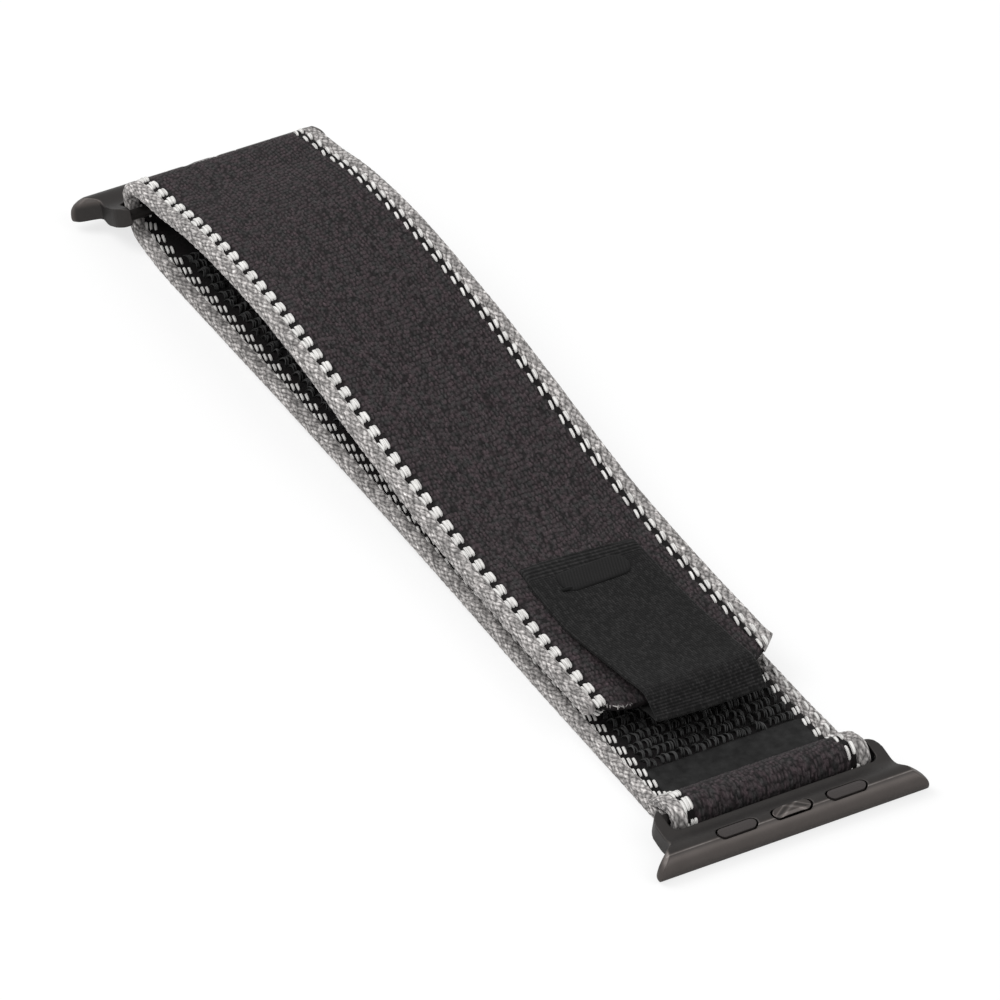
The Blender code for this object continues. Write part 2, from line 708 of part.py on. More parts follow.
def latch_plug(name, empty):
    """The plug that closes the latch's pocket from below."""
    low = -RAIL_BOTTOM + PLUG_SET
    plug = upright_prism(pill((PILL_X, 0), FLANGE_LENGTH, PILL_WIDTH), low, low + PLUG_THICK)
    finish(plug, name, DARK_METAL, empty)


def leaf_spring(name, empty):
    """A bent leaf between the plug and the latch's flange."""
    low = -RAIL_BOTTOM + PLUG_SET + PLUG_THICK + LEAF_THICK
    high = FLANGE_TOP - FLANGE_THICK - LEAF_THICK
    reach = PILL_LENGTH / 2
    line = []
    for k in range(13):
        share = k / 12
        wave = (1 - math.cos(math.tau * share)) / 2
        line.append(Vector((-reach + 2 * reach * share, MID_PLATE + low + (high - low) * wave)))
    leaf = flat_curve([band_outline(line, 0.0, LEAF_THICK)], LEAF_WIDTH / 2)
    leaf.matrix_world = (Matrix.Translation((PILL_X, 0, 0))
                         @ Matrix.Rotation(math.pi / 2, 4, "Z") @ UPRIGHT)
    finish(as_mesh(leaf), name, SPRING_METAL, empty)


def lug(end, bar, tilt, outward):
    """A whole lug on an empty at its bar's axis."""
    empty = axis_empty(end + "_lug_axis", Vector())
    lug_body(end + "_lug", empty)
    lug_pad(end + "_pad_left", empty, -PILL_PITCH * outward)
    lug_pad(end + "_pad_right", empty, PILL_PITCH * outward)
    latch(end + "_latch", empty)
    latch_plug(end + "_latch_plug", empty)
    leaf_spring(end + "_latch_spring", empty)
    empty.matrix_world = Matrix.Translation(bar) @ lug_frame(tilt, outward)


lug("near", NEAR_BAR, NEAR_TILT, 1)
lug("far", FAR_BAR, FAR_TILT, -1)
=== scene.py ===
"""Looks of the fabric watch strap: woven webbing, loop pile, ribbon tab and dark metal lugs.

Lengths are in millimetres until a mesh is made. X runs along the strap, Y across it, Z up.
The webbing is one band: its line starts at the tail of the wrap at the fixed end, runs round the
bar, along the floor, round the loop-end bar and back on top to the free end.
"""
import math

import bmesh
import bpy
import numpy as np
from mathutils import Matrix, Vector


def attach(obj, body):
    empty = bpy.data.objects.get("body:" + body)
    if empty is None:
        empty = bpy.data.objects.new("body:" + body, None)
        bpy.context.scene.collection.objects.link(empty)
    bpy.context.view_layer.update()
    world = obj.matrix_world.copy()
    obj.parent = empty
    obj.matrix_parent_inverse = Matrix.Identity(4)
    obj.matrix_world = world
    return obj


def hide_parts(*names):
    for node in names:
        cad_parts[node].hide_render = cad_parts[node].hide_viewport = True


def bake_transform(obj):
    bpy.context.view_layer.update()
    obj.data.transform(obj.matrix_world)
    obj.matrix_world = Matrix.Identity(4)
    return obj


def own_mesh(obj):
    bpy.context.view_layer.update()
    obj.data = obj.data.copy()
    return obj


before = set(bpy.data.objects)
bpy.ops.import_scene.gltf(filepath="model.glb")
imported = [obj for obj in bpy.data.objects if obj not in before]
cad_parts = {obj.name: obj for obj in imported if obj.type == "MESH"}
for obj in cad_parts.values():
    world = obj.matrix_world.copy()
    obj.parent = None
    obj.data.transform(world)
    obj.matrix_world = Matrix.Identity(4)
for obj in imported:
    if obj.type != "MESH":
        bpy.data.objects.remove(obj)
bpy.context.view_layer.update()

MM = 0.001
rng = np.random.default_rng(7)

# Camera
AZIMUTH = math.radians(61.06)
ELEVATION = math.radians(36.96)
LENS = 353.016
DISTANCE = 1087.4
TARGET = Vector((3.53, -0.11, 2.07))
WORLD_LEVEL = 0.62
FLOOR_REACH = 3.0
FLOOR_GLOW = 0.75
# Name, place in metres, size in metres, watts
LAMPS = (("key", (-0.25, -0.35, 0.6), 0.45, 3.2), ("fill", (0.5, 0.3, 0.5), 0.5, 1.6))

# The webbing's line, as in the CAD source
NEAR_BAR = (61.5915, 2.09)
FAR_BAR = (-62.0103, 4.31)
SPAN = NEAR_BAR[0] - FAR_BAR[0]
HALF_WEB = 0.7
WEB_HALF_WIDE = 12
UPPER_REST = 4.3
LOWER_SHARES = ((0.036, 0.13), (0.08, 0.0), (0.177, 0.33), (0.29, 0.67), (0.403, 0.85),
                (0.517, 1.0), (0.63, 0.7), (0.72, 0.2), (0.784, 0.0), (0.97, 0.0))
UPPER_SHARES = ((0.051, 0.69), (0.096, 0.858), (0.14, 0.958), (0.193, 1.0), (0.246, 0.99),
                (0.298, 0.908), (0.355, 0.767), (0.412, 0.575), (0.468, 0.417), (0.525, 0.283),
                (0.582, 0.158), (0.638, 0.075), (0.703, 0.025), (0.768, 0.0), (0.88, 0.0))
# Shares of a turn and of FOLD_HUG: the fold, which stands up and out over the rail
FOLD_SHARES = ((0.811, 1.99), (0.743, 1.475), (0.667, 1.06), (0.625, 1.0), (0.568, 1.0),
               (0.514, 1.04), (0.458, 1.32), (0.403, 1.66), (0.347, 1.84), (0.306, 1.92),
               (0.264, 2.03), (0.172, 2.62))
FOLD_HUG = 1.575
FOLD_X = FAR_BAR[0] + 6.3
WRAP_JOIN = 57.24
WRAP_LINE = ((57.75, 1.75), (58.6, 2.3), (59.6, 2.95), (60.93, 3.33), (61.59, 3.49),
             (62.3, 3.3), (62.8, 2.8), (62.99, 2.09), (62.85, 1.45), (62.4, 0.95),
             (61.6, 0.72), (60.0, 0.69), (58.6, 0.7))
STRAP_END = 44.9
# Where the webbing is cut into pieces, on both layers, the lower one and the upper one
CUT_X = -17.0
LOWER_CUT_X = 30.0
UPPER_CUT_X = 8.0

# Yarns
REPEAT = 2.2
WARP_PITCH = 0.42
HALF_WARPS = 49
BODY_HALF = 10.3
# Where the ground sinks beside the floats, left and right, and where the free end starts to thin
TROUGH = (9.25, 9.4)
END_TAPER = 3.0
EDGE_MID = 11.15
EDGE_HALF = 0.84
EDGE_HIGH = 0.74
STITCHES_ALONG = 3.6
STITCHES_ROUND = 18
LOOP_ROW = 1.65
LOOP_PITCH = 0.84


# Lines

def unit(value):
    """The value, held between 0 and 1."""
    return np.clip(value, 0, 1)


def rise(share):
    """A smooth step from 0 to 1."""
    return (1 - np.cos(math.pi * unit(share))) / 2


def chord(distance, radius):
    return np.sqrt(np.clip(radius ** 2 - distance ** 2, 0, None))


def corner(distance, radius):
    """What a rounded corner takes off, from none where it starts to all of its radius."""
    return radius - chord(np.clip(distance, 0, radius), radius)


def turn(count):
    """Evenly spaced angles round a turn."""
    return np.arange(count) / count * math.tau


def blunt(value, power):
    """A sine or cosine that is filled out, for a ring that is squarer than round."""
    return np.sign(value) * np.abs(value) ** power


def pairs(along, across):
    """Weave coordinates for every pair of a length along and one across."""
    return np.stack(np.meshgrid(along, across, indexing="ij"), -1)


def there_and_back(half, columns, first, second):
    """Places across a strip and back, and its height on the way there and on the way back."""
    v = np.linspace(-half, half, columns)
    return np.concatenate([v, -v]), np.repeat((first, second), columns)


def beside(columns, rest, count):
    """Columns, and beside them so many more that are the same all along."""
    return np.concatenate([columns, np.broadcast_to(rest, (len(columns), count))], 1)


def catmull(points, steps):
    """A smooth line through the points."""
    p = np.array([points[0], *points, points[-1]], float)
    t = (np.arange(steps) / steps)[:, None]
    parts = [0.5 * (2 * b + (c - a) * t + (2 * a - 5 * b + 4 * c - d) * t ** 2
                    + (3 * b - a - 3 * c + d) * t ** 3)
             for a, b, c, d in zip(p[:-3], p[1:-2], p[2:-1], p[3:])]
    return np.concatenate(parts + [p[-1:]])


def height_on(line, x):
    return np.interp(x, line[:, 0], line[:, 1])


LOWER = catmull([(FAR_BAR[0] + a * SPAN, HALF_WEB + b * 0.6) for a, b in LOWER_SHARES], 12)
UPPER = catmull([(FAR_BAR[0] + a * SPAN, UPPER_REST + b * 6.0) for a, b in UPPER_SHARES], 12)


def even(line, step, blur):
    """Evenly spaced points of a line, with its corners eased."""
    for _ in range(2):
        run = np.concatenate([[0], np.cumsum(np.hypot(*np.diff(line, axis=0).T))])
        at = np.arange(0, run[-1], step)
        line = np.stack([np.interp(at, run, line[:, k]) for k in (0, 1)], 1)
    width = int(blur / step)
    kernel = np.hanning(2 * width + 3)[1:-1]
    kernel /= kernel.sum()
    padded = np.concatenate([2 * line[0] - line[width:0:-1], line,
                             2 * line[-1] - line[-2:-width - 2:-1]])
    return np.stack([np.convolve(padded[:, k], kernel, "valid") for k in (0, 1)], 1)


class Path:
    """A line in the XZ plane, addressed by its length, with a normal on its left."""

    def __init__(self, line, step=0.05, blur=0.8):
        self.line = even(np.array(line, float), step, blur)
        self.run = np.concatenate([[0], np.cumsum(np.hypot(*np.diff(self.line, axis=0).T))])
        along = np.gradient(self.line, axis=0)
        along /= np.linalg.norm(along, axis=1)[:, None]
        self.normal = np.stack([-along[:, 1], along[:, 0]], 1)
        self.length = self.run[-1]

    def at(self, s):
        """X and Z at a length, and those of the normal there."""
        return [np.interp(s, self.run, row) for row in (*self.line.T, *self.normal.T)]


lower_xs = np.arange(WRAP_JOIN, FOLD_X, -0.5)
upper_xs = np.arange(FOLD_X, STRAP_END + 3.0, 0.5)
fold_middle = [(FAR_BAR[0] + d * FOLD_HUG * math.cos(t * math.tau),
                FAR_BAR[1] + d * FOLD_HUG * math.sin(t * math.tau)) for t, d in FOLD_SHARES]
fold_line = catmull([(FOLD_X, height_on(LOWER, FOLD_X)), *fold_middle,
                     (FOLD_X, height_on(UPPER, FOLD_X))], 6)
WEB = Path(np.concatenate([
    catmull([*WRAP_LINE, (WRAP_JOIN, HALF_WEB)], 8)[:-1],
    np.stack([lower_xs, height_on(LOWER, lower_xs)], 1),
    fold_line[1:-1],
    np.stack([upper_xs, height_on(UPPER, upper_xs)], 1)]))

turn_index = int(np.argmin(WEB.line[:, 0]))
front_index = int(np.argmax(WEB.line[:turn_index, 0]))


def lower_s(x):
    """The length along the webbing at x on the lower layer."""
    part = slice(front_index, turn_index)
    return float(np.interp(-x, -WEB.line[part, 0], WEB.run[part]))


def upper_s(x):
    """The length along the webbing at x on the upper layer."""
    return float(np.interp(x, WEB.line[turn_index:, 0], WEB.run[turn_index:]))


S_JOIN = lower_s(WRAP_JOIN)
S_TURN = WEB.run[turn_index]

# The white blocks: the numbers of repeats on the lower layer, up to FREE_X, beyond it and past
# both ends; two stretches' steps; and where the stretches start
LOWER_COUNT, UPPER_COUNT, FREE_COUNT, SPARE = 48, 19, 22, 10
LOWER_STEP, FREE_STEP = 2.196, 2.427
LOWER_X, UPPER_X, FREE_X = -53.0, -52.0, -10.1
known_s = [lower_s(LOWER_X + LOWER_STEP * LOWER_COUNT), lower_s(LOWER_X), upper_s(UPPER_X),
           upper_s(FREE_X), upper_s(FREE_X + FREE_STEP * FREE_COUNT)]
turn_count = round((known_s[2] - known_s[1]) / REPEAT)
known_n = [-LOWER_COUNT, 0, turn_count, turn_count + UPPER_COUNT,
           turn_count + UPPER_COUNT + FREE_COUNT]
before = (known_s[1] - known_s[0]) / LOWER_COUNT
after = (known_s[4] - known_s[3]) / FREE_COUNT
BLOCKS_S = np.array([known_s[0] - SPARE * before, *known_s, known_s[4] + SPARE * after])
BLOCKS_N = np.array([known_n[0] - SPARE, *known_n, known_n[4] + SPARE], float)


def phase(s):
    """The weave's repeat number at s: a whole number is the middle of a white block."""
    return np.interp(s, BLOCKS_S, BLOCKS_N)


def phase_s(number):
    """The length along the webbing of a repeat number."""
    return np.interp(number, BLOCKS_N, BLOCKS_S)


# How much the upper layer's right edge stands above its left one
LIFT_X = (-62.0, -50.0, -38.0, -30.0, -22.0, -12.0, -4.0, 4.0, 12.0, 25.0, 46.0)
LIFT_RIGHT = (0.0, 0.5, 0.6, 0.45, 0.55, 0.95, 0.9, 0.45, 0.2, 0.15, 0.3)


def web_point(s, v, h):
    """A point of the webbing: s along it, v across it, h out of its outer face's side."""
    s, v, h = np.broadcast_arrays(s, v, h)
    x, z, nx, nz = WEB.at(s)
    slim = np.interp(s, (0, 2.2, S_JOIN - 1.5, S_JOIN), (0.5, 0.78, 0.78, 1.0))
    lift = np.where(s > S_TURN, np.interp(x, LIFT_X, LIFT_RIGHT), 0.0)
    lift = lift * (v + WEB_HALF_WIDE) / (2 * WEB_HALF_WIDE)
    z = z + nz * h * slim + lift
    aside = np.interp(s, (0, S_JOIN + 8), (0.2, 0.0))
    return np.stack([x + nx * h * slim, v + aside, np.maximum(z, 0.01)], -1)


TABLE = rng.random((101, 103))


def scatter(i, j):
    """The same random number each time for a pair of whole numbers."""
    return TABLE[np.asarray(i).astype(int) % 101, np.asarray(j).astype(int) % 103]


# Meshes

def add_object(name, data):
    thing = bpy.data.objects.new(name, data)
    bpy.context.scene.collection.objects.link(thing)
    return thing


def dress(mesh, material):
    """Gives a mesh one material."""
    mesh.materials.clear()
    mesh.materials.append(material)


def set_lift(mesh, values):
    """Says how high each point stands in its weave, with its own tone, for the material's painted
    shade; on metal, where painted light, painted highlights and wear go.
    """
    attribute = mesh.attributes.new("lift", "FLOAT", "POINT")
    attribute.data.foreach_set("value", values.astype(np.float32))


def get_points(mesh):
    points = np.empty(len(mesh.vertices) * 3, np.float32)
    mesh.vertices.foreach_get("co", points)
    return points.reshape(-1, 3).T / MM


def set_points(mesh, *axes):
    mesh.vertices.foreach_set("co", (np.column_stack(axes) * MM).astype(np.float32).ravel())
    mesh.update()


class Shape:
    """Gathers closed tubes into one mesh, with weave coordinates and a lift for the material."""

    def __init__(self):
        self.points, self.faces, self.lifts = [], [], []
        self.count = 0

    def tube(self, points, uv=None, lift=1.0, caps=True):
        """Adds rows of points, each row a closed ring, with flat caps on both ends."""
        n, m = points.shape[:2]
        i, j = np.meshgrid(np.arange(n - 1), np.arange(m), indexing="ij")
        k = (j + 1) % m
        corners = np.stack([i * m + j, (i + 1) * m + j, (i + 1) * m + k, i * m + k], -1)
        if uv is None:
            uv = pairs(np.arange(n), np.arange(m + 1)) * 0.1
        k = (j + 1) % uv.shape[1]
        step = np.stack([uv[i, j], uv[i + 1, j], uv[i + 1, k], uv[i, k]], -2)
        base = self.count
        self.faces.append((corners.reshape(-1, 4) + base, step.reshape(-1, 4, 2), True))
        self.points.append(points.reshape(-1, 3))
        self.lifts.append(np.broadcast_to(lift, (n, m)).ravel())
        self.count += n * m
        if caps:
            for row, order in ((0, 1), (n - 1, -1)):
                self.cap(base + row * m + np.arange(m), order)
        return base

    def flat(self, quads):
        """Adds faces without weave coordinates."""
        self.faces.append((quads, np.zeros((len(quads), 4, 2)), False))

    def cap(self, ring, order):
        """Closes a ring with flat strips between its two sides."""
        quads = []
        a, b = 0, len(ring) - 1
        while b - a > 2:
            quads.append((a, a + 1, b - 1, b))
            a, b = a + 1, b - 1
        if b - a == 2:
            quads.append((a, a + 1, b, b))
        self.flat(ring[np.array(quads)[:, ::order]])

    def wall(self, first, rest, across, order):
        """Flat triangles between two rows of points that are there, walked side by side."""
        faces = []
        i = j = 0
        while i < len(first) - 1 or j < len(rest) - 1:
            a, b = first[i], rest[j]
            if j == len(rest) - 1 or (i < len(first) - 1
                                      and across[first[i + 1]] < across[rest[j + 1]]):
                i += 1
                faces.append((a, b, first[i])[::order])
            else:
                j += 1
                faces.append((a, b, rest[j])[::order])
        self.flat(np.array([(*f, f[2]) for f in faces]))

    def make(self, name, material):
        """The object; a face whose first or last two corners are one point is a triangle."""
        quads = np.concatenate([f for f, _, _ in self.faces])
        uvs = np.concatenate([u for _, u, _ in self.faces])
        smooth = np.concatenate([np.full(len(f), s) for f, _, s in self.faces])
        points = np.concatenate(self.points) * MM
        keep = np.ones(quads.shape, bool)
        keep[:, 3] = quads[:, 2] != quads[:, 3]
        keep[:, 0] = quads[:, 0] != quads[:, 1]
        sizes = keep.sum(1)
        mesh = bpy.data.meshes.new(name)
        mesh.vertices.add(len(points))
        mesh.vertices.foreach_set("co", points.astype(np.float32).ravel())
        mesh.loops.add(int(sizes.sum()))
        mesh.loops.foreach_set("vertex_index", quads[keep].astype(np.int32))
        mesh.polygons.add(len(sizes))
        starts = np.concatenate([[0], np.cumsum(sizes)[:-1]])
        mesh.polygons.foreach_set("loop_start", starts.astype(np.int32))
        mesh.polygons.foreach_set("use_smooth", smooth)
        layer = mesh.uv_layers.new(name="weave")
        layer.data.foreach_set("uv", uvs[keep].astype(np.float32).ravel())
        set_lift(mesh, np.concatenate(self.lifts))
        mesh.update(calc_edges=True)
        mesh.validate()
        dress(mesh, material)
        return add_object(name, mesh)


# Materials

def configured(thing, **settings):
    for key, value in settings.items():
        setattr(thing, key, value)
    return thing


def add_node(tree, kind, inputs, **settings):
    """Adds a node with its settings and its inputs, each a value or another node's output."""
    made = configured(tree.nodes.new("ShaderNode" + kind), **settings)
    for key, value in inputs.items():
        if isinstance(value, bpy.types.NodeSocket):
            tree.links.new(value, made.inputs[key])
        else:
            made.inputs[key].default_value = value
    return made


class Look:
    """A node material built step by step."""

    def __init__(self, name, roughness=0.9, metallic=0.0, sheen=0.0, specular=0.5):
        self.material = bpy.data.materials.new(name)
        self.material.use_nodes = True
        self.tree = self.material.node_tree
        self.shader = self.tree.nodes["Principled BSDF"]
        for key, value in (("Roughness", roughness), ("Metallic", metallic),
                           ("Sheen Weight", sheen), ("Specular IOR Level", specular)):
            self.shader.inputs[key].default_value = value

    def node(self, kind, inputs={}, **settings):
        return add_node(self.tree, kind, inputs, **settings)

    def weave(self, along=1.0, across=1.0, turned=0.0):
        """Weave coordinates in millimetres, scaled."""
        uv = self.node("UVMap", uv_map="weave").outputs[0]
        return self.node("Mapping", {"Vector": uv, "Scale": (along, across, 1.0),
                                     "Rotation": (0, 0, turned)}).outputs[0]

    def place(self):
        """Object coordinates in millimetres."""
        where = self.node("TexCoord").outputs["Object"]
        return self.node("Mapping", {"Vector": where, "Scale": (1 / MM,) * 3}).outputs[0]

    def noise(self, vector, scale=1.0, detail=2.0, roughness=0.5):
        return self.node("TexNoise", {"Vector": vector, "Scale": scale, "Detail": detail,
                                      "Roughness": roughness}).outputs["Fac"]

    def lift(self):
        return self.node("Attribute", attribute_name="lift").outputs["Fac"]

    def ramp(self, value, *stops, tint=(1, 1, 1)):
        """A colour ramp whose stops are a place and a colour or a level of the tint."""
        made = self.node("ValToRGB", {"Fac": value})
        elements = made.color_ramp.elements
        while len(elements) < len(stops):
            elements.new(0.5)
        for element, (at, colour) in zip(elements, stops):
            if not isinstance(colour, tuple):
                colour = [colour * part for part in tint]
            element.position = at
            element.color = (*colour, 1.0)
        return made.outputs["Color"]

    def mix(self, factor, a, b, blend="MIX"):
        a, b = (c if isinstance(c, bpy.types.NodeSocket) else (*c, 1.0) for c in (a, b))
        return self.node("Mix", {0: factor, 6: a, 7: b}, data_type="RGBA",
                         blend_type=blend).outputs[2]

    def times(self, first, *rest):
        """Colours multiplied together."""
        for colour in rest:
            first = self.mix(1.0, first, colour, "MULTIPLY")
        return first

    def feed(self, key, socket):
        self.tree.links.new(socket, self.shader.inputs[key])

    def done(self, colour, height, distance, strength):
        """The material, with its colour and its relief."""
        self.feed("Base Color", colour)
        self.feed("Normal", self.node("Bump", {"Height": height, "Distance": distance * MM,
                                               "Strength": strength}).outputs[0])
        return self.material


def woven_look(name, dark, light):
    """Charcoal yarn: painted shade near black in the hollows, each crown with its own tone."""
    look = Look(name, roughness=0.9, sheen=0.03, specular=0.12)
    fibre = look.noise(look.weave(5.0, 9.0, 0.3), roughness=0.6)
    strand = look.noise(look.weave(2.0, 4.4, 0.5), roughness=0.6)
    patch = look.noise(look.weave(0.7, 1.1), detail=3.0)
    # Painted shade: the lift darkens the colour where the weave lies low, with each crown's own
    # tone
    painted_light_and_tone = look.ramp(look.lift(), (0.0, 0.10), (0.25, 0.5), (0.5, 0.95), (1.0, 1.4))
    yarn = look.ramp(fibre, (0.3, dark), (0.7, light))
    tone = look.ramp(patch, (0.36, (0.80, 0.92, 0.88)), (0.64, (1.20, 1.07, 1.12)))
    streak = look.ramp(strand, (0.36, 0.66), (0.64, 1.3))
    return look.done(look.times(yarn, tone, streak, painted_light_and_tone), fibre, 0.05, 0.6)


def heather_look():
    """Grey heather: light and dark stitches, with painted shade making the pits between them
    black.
    """
    look = Look("heather", roughness=0.9, sheen=0.05, specular=0.15)
    speck = look.noise(look.weave(2.2, 4.5, 0.5), roughness=0.6)
    blot = look.noise(look.weave(1.1, 1.6), detail=3.0, roughness=0.6)
    yarn = look.ramp(speck, (0.3, (0.20, 0.187, 0.182)), (0.5, (0.46, 0.437, 0.428)),
                     (0.7, (0.72, 0.70, 0.68)))
    tone = look.ramp(blot, (0.34, 0.62), (0.5, 1.0), (0.64, 1.3))
    painted_light_and_tone = look.ramp(look.lift(), (0.0, 0.14), (0.3, 0.56), (0.65, 0.93), (1.0, 1.2))
    return look.done(look.times(yarn, tone, painted_light_and_tone), speck, 0.06, 0.5)


def white_look():
    """White floats: fine strands with grey between them."""
    look = Look("white_yarn", roughness=0.8, sheen=0.1, specular=0.2)
    strand = look.noise(look.weave(0.5, 9.0), detail=1.0)
    yarn = look.ramp(strand, (0.34, (0.40, 0.39, 0.38)), (0.5, (0.70, 0.69, 0.67)),
                     (0.62, (0.80, 0.79, 0.77)))
    return look.done(yarn, strand, 0.08, 0.8)


def pile_look(name, dark, light):
    """Glossy loops or hooks, darkened or lightened by the lift: painted shade black at the loops'
    roots, a painted highlight at their tops.
    """
    look = Look(name, roughness=0.55, sheen=0.05, specular=0.35)
    strand = look.noise(look.weave(1.0, 12.0))
    yarn = look.ramp(strand, (0.3, dark), (0.7, light))
    painted_light_and_tone = look.ramp(look.lift(), (0.0, 0.06), (0.5, 0.55), (1.0, 1.9))
    return look.done(look.times(yarn, painted_light_and_tone), strand, 0.05, 0.8)


def plain_look(name, roughness, specular, shade, dark, light, fine, distance, strength):
    """A plain surface: shade and fine are the noise scales of its colour and its relief."""
    look = Look(name, roughness=roughness, specular=specular)
    colour = look.ramp(look.noise(look.place(), shade, 3.0), (0.3, dark), (0.7, light))
    return look.done(colour, look.noise(look.place(), fine, 3.0), distance, strength)


def ribbon_look(name, dark, light):
    """Ribbed ribbon or dense stitching, with painted shade near black between its threads."""
    look = Look(name, roughness=0.8, sheen=0.03, specular=0.14)
    fibre = look.noise(look.weave(9.0, 5.0), roughness=0.6)
    broad = look.noise(look.weave(0.3, 0.3))
    yarn = look.ramp(fibre, (0.3, dark), (0.7, light), tint=(1, 0.97, 0.97))
    painted_light_and_tone = look.ramp(look.lift(), (0.0, 0.04), (0.5, 0.58), (1.0, 1.9))
    tone = look.ramp(broad, (0.3, 0.88), (0.7, 1.12))
    return look.done(look.times(yarn, painted_light_and_tone, tone), fibre, 0.03, 0.5)


def metal_look(name, level, roughness):
    """Dark satin metal with a fine blasted grain, lighter where the lift says so: painted light,
    painted highlights and wear.
    """
    look = Look(name, roughness=roughness, metallic=1.0)
    grain = look.noise(look.place(), 11.0, 3.0, 0.7)
    cloud = look.noise(look.place(), 0.5, 3.0)
    tint = (1.0, 0.93, 0.90)
    base = look.mix(0.5, *(look.ramp(value, (0.3, level * (1 - share)), (0.7, level * (1 + share)),
                                     tint=tint) for value, share in ((grain, 0.15), (cloud, 0.1))))
    # Painted light: a lift up to 0.5 lightens the colour, on the nose's front and the latch's
    # crown
    base = look.times(base, look.ramp(look.lift(), (0.0, 1.0), (0.5, (2.0, 1.9, 1.85))))
    # Above 0.5 the lift mixes in patches towards a bright colour: painted highlights on the
    # latch's crests, painted highlight and wear on the ridge, and the top of the rail's ends
    highlight_and_wear_share = look.node("MapRange", {"Value": look.lift(), "From Min": 0.5}).outputs[0]
    patchy = look.ramp(look.noise(look.place(), 1.2, 3.0), (0.36, 0.3), (0.6, 1.0))
    highlight_and_wear = look.node("Math", {0: highlight_and_wear_share, 1: patchy}, operation="MULTIPLY").outputs[0]
    look.feed("Roughness", look.node("MapRange", {"Value": grain, "To Min": roughness - 0.06,
                                                  "To Max": roughness + 0.06}).outputs[0])
    bright = [level * 5.0 * part for part in tint]
    return look.done(look.mix(highlight_and_wear, base, bright), grain, 0.012, 0.35)


WEBBING = woven_look("charcoal", (0.024, 0.0200, 0.0212), (0.056, 0.0472, 0.0498))
HEATHER = heather_look()
WHITE = white_look()
PILE = pile_look("pile", 0.010, 0.038)
HOOK = pile_look("hooks", 0.005, 0.011)
BAND = plain_look("bond", 0.7, 0.14, 0.9, 0.006, 0.018, 6.0, 0.04, 0.5)
RIBBON = ribbon_look("ribbon", 0.007, 0.0185)
TACK = ribbon_look("tack", 0.005, 0.011)
METAL = metal_look("dark_metal", 0.04, 0.5)
LATCH_METAL = metal_look("latch_metal", 0.04, 0.36)
SPRING_METAL = metal_look("spring_metal", 0.42, 0.3)
POLYMER = plain_look("polymer", 0.6, 0.3, 10.0, (0.027, 0.023, 0.022), (0.037, 0.031, 0.030),
                     10.0, 0.01, 0.4)


# Camera, floor and light

def aimed(name, data, place, direction):
    """An object at a place, in metres, that looks along a direction."""
    thing = add_object(name, data)
    thing.location = place
    thing.rotation_mode = "QUATERNION"
    thing.rotation_quaternion = direction.to_track_quat("-Z", "Y")
    return thing


def stage():
    """Camera, world, floor and lamps."""
    scene = bpy.context.scene
    scene.view_settings.view_transform = "Standard"
    back = Vector((math.sin(AZIMUTH) * math.cos(ELEVATION),
                   -math.cos(AZIMUTH) * math.cos(ELEVATION), math.sin(ELEVATION)))
    data = configured(bpy.data.cameras.new("camera"), sensor_width=36, lens=LENS, clip_start=0.01,
                      clip_end=10)
    scene.camera = aimed("camera", data, (TARGET + back * DISTANCE) * MM, -back)

    # The world is white where it is seen, mirrored or seen through, and dimmer as a light
    world = bpy.data.worlds.new("studio")
    scene.world = world
    world.use_nodes = True
    tree = world.node_tree
    rays = add_node(tree, "LightPath", {}).outputs
    seen = rays["Is Camera Ray"]
    for kind in ("Is Glossy Ray", "Is Transmission Ray"):
        seen = add_node(tree, "Math", {0: seen, 1: rays[kind]}, operation="MAXIMUM").outputs[0]
    level = add_node(tree, "MapRange", {"Value": seen, "To Min": WORLD_LEVEL, "To Max": 1.0})
    background = tree.nodes["Background"].inputs
    background["Color"].default_value = (1, 1, 1, 1)
    tree.links.new(level.outputs[0], background["Strength"])

    # The floor glows a little to the camera only, and keeps the shadow
    mesh = bpy.data.meshes.new("floor")
    mesh.from_pydata([(x * FLOOR_REACH, y * FLOOR_REACH, 0)
                      for x, y in ((-1, -1), (1, -1), (1, 1), (-1, 1))], [], [(0, 1, 2, 3)])
    look = bpy.data.materials.new("floor")
    look.use_nodes = True
    tree = look.node_tree
    tree.nodes.remove(tree.nodes["Principled BSDF"])
    matte = add_node(tree, "BsdfDiffuse", {"Color": (0.9, 0.9, 0.9, 1)})
    glow = add_node(tree, "Emission", {"Color": (1, 1, 1, 1)})
    seen = add_node(tree, "LightPath", {}).outputs["Is Camera Ray"]
    share = add_node(tree, "Math", {0: seen, 1: FLOOR_GLOW}, operation="MULTIPLY")
    blend = add_node(tree, "MixShader", {0: share.outputs[0], 1: matte.outputs[0],
                                         2: glow.outputs[0]})
    tree.links.new(blend.outputs[0], tree.nodes["Material Output"].inputs[0])
    dress(mesh, look)
    add_object("floor", mesh)

    for name, place, size, energy in LAMPS:
        lamp = configured(bpy.data.lights.new(name, "AREA"), size=size, energy=energy)
        aimed(name, lamp, place, -Vector(place))


stage()


# Webbing

def samples(start, end, per_repeat):
    """Lengths from start to end, so many to each repeat."""
    first, last = float(phase(start)), float(phase(end))
    count = max(2, int(round((last - first) * per_repeat)))
    return phase_s(np.linspace(first, last, count + 1))


def picks(s):
    """The number of the row of nubs at s; the rows lie wider apart in the wrap."""
    return 3 * phase(s) + 0.11 * np.maximum(S_JOIN - s, 0)


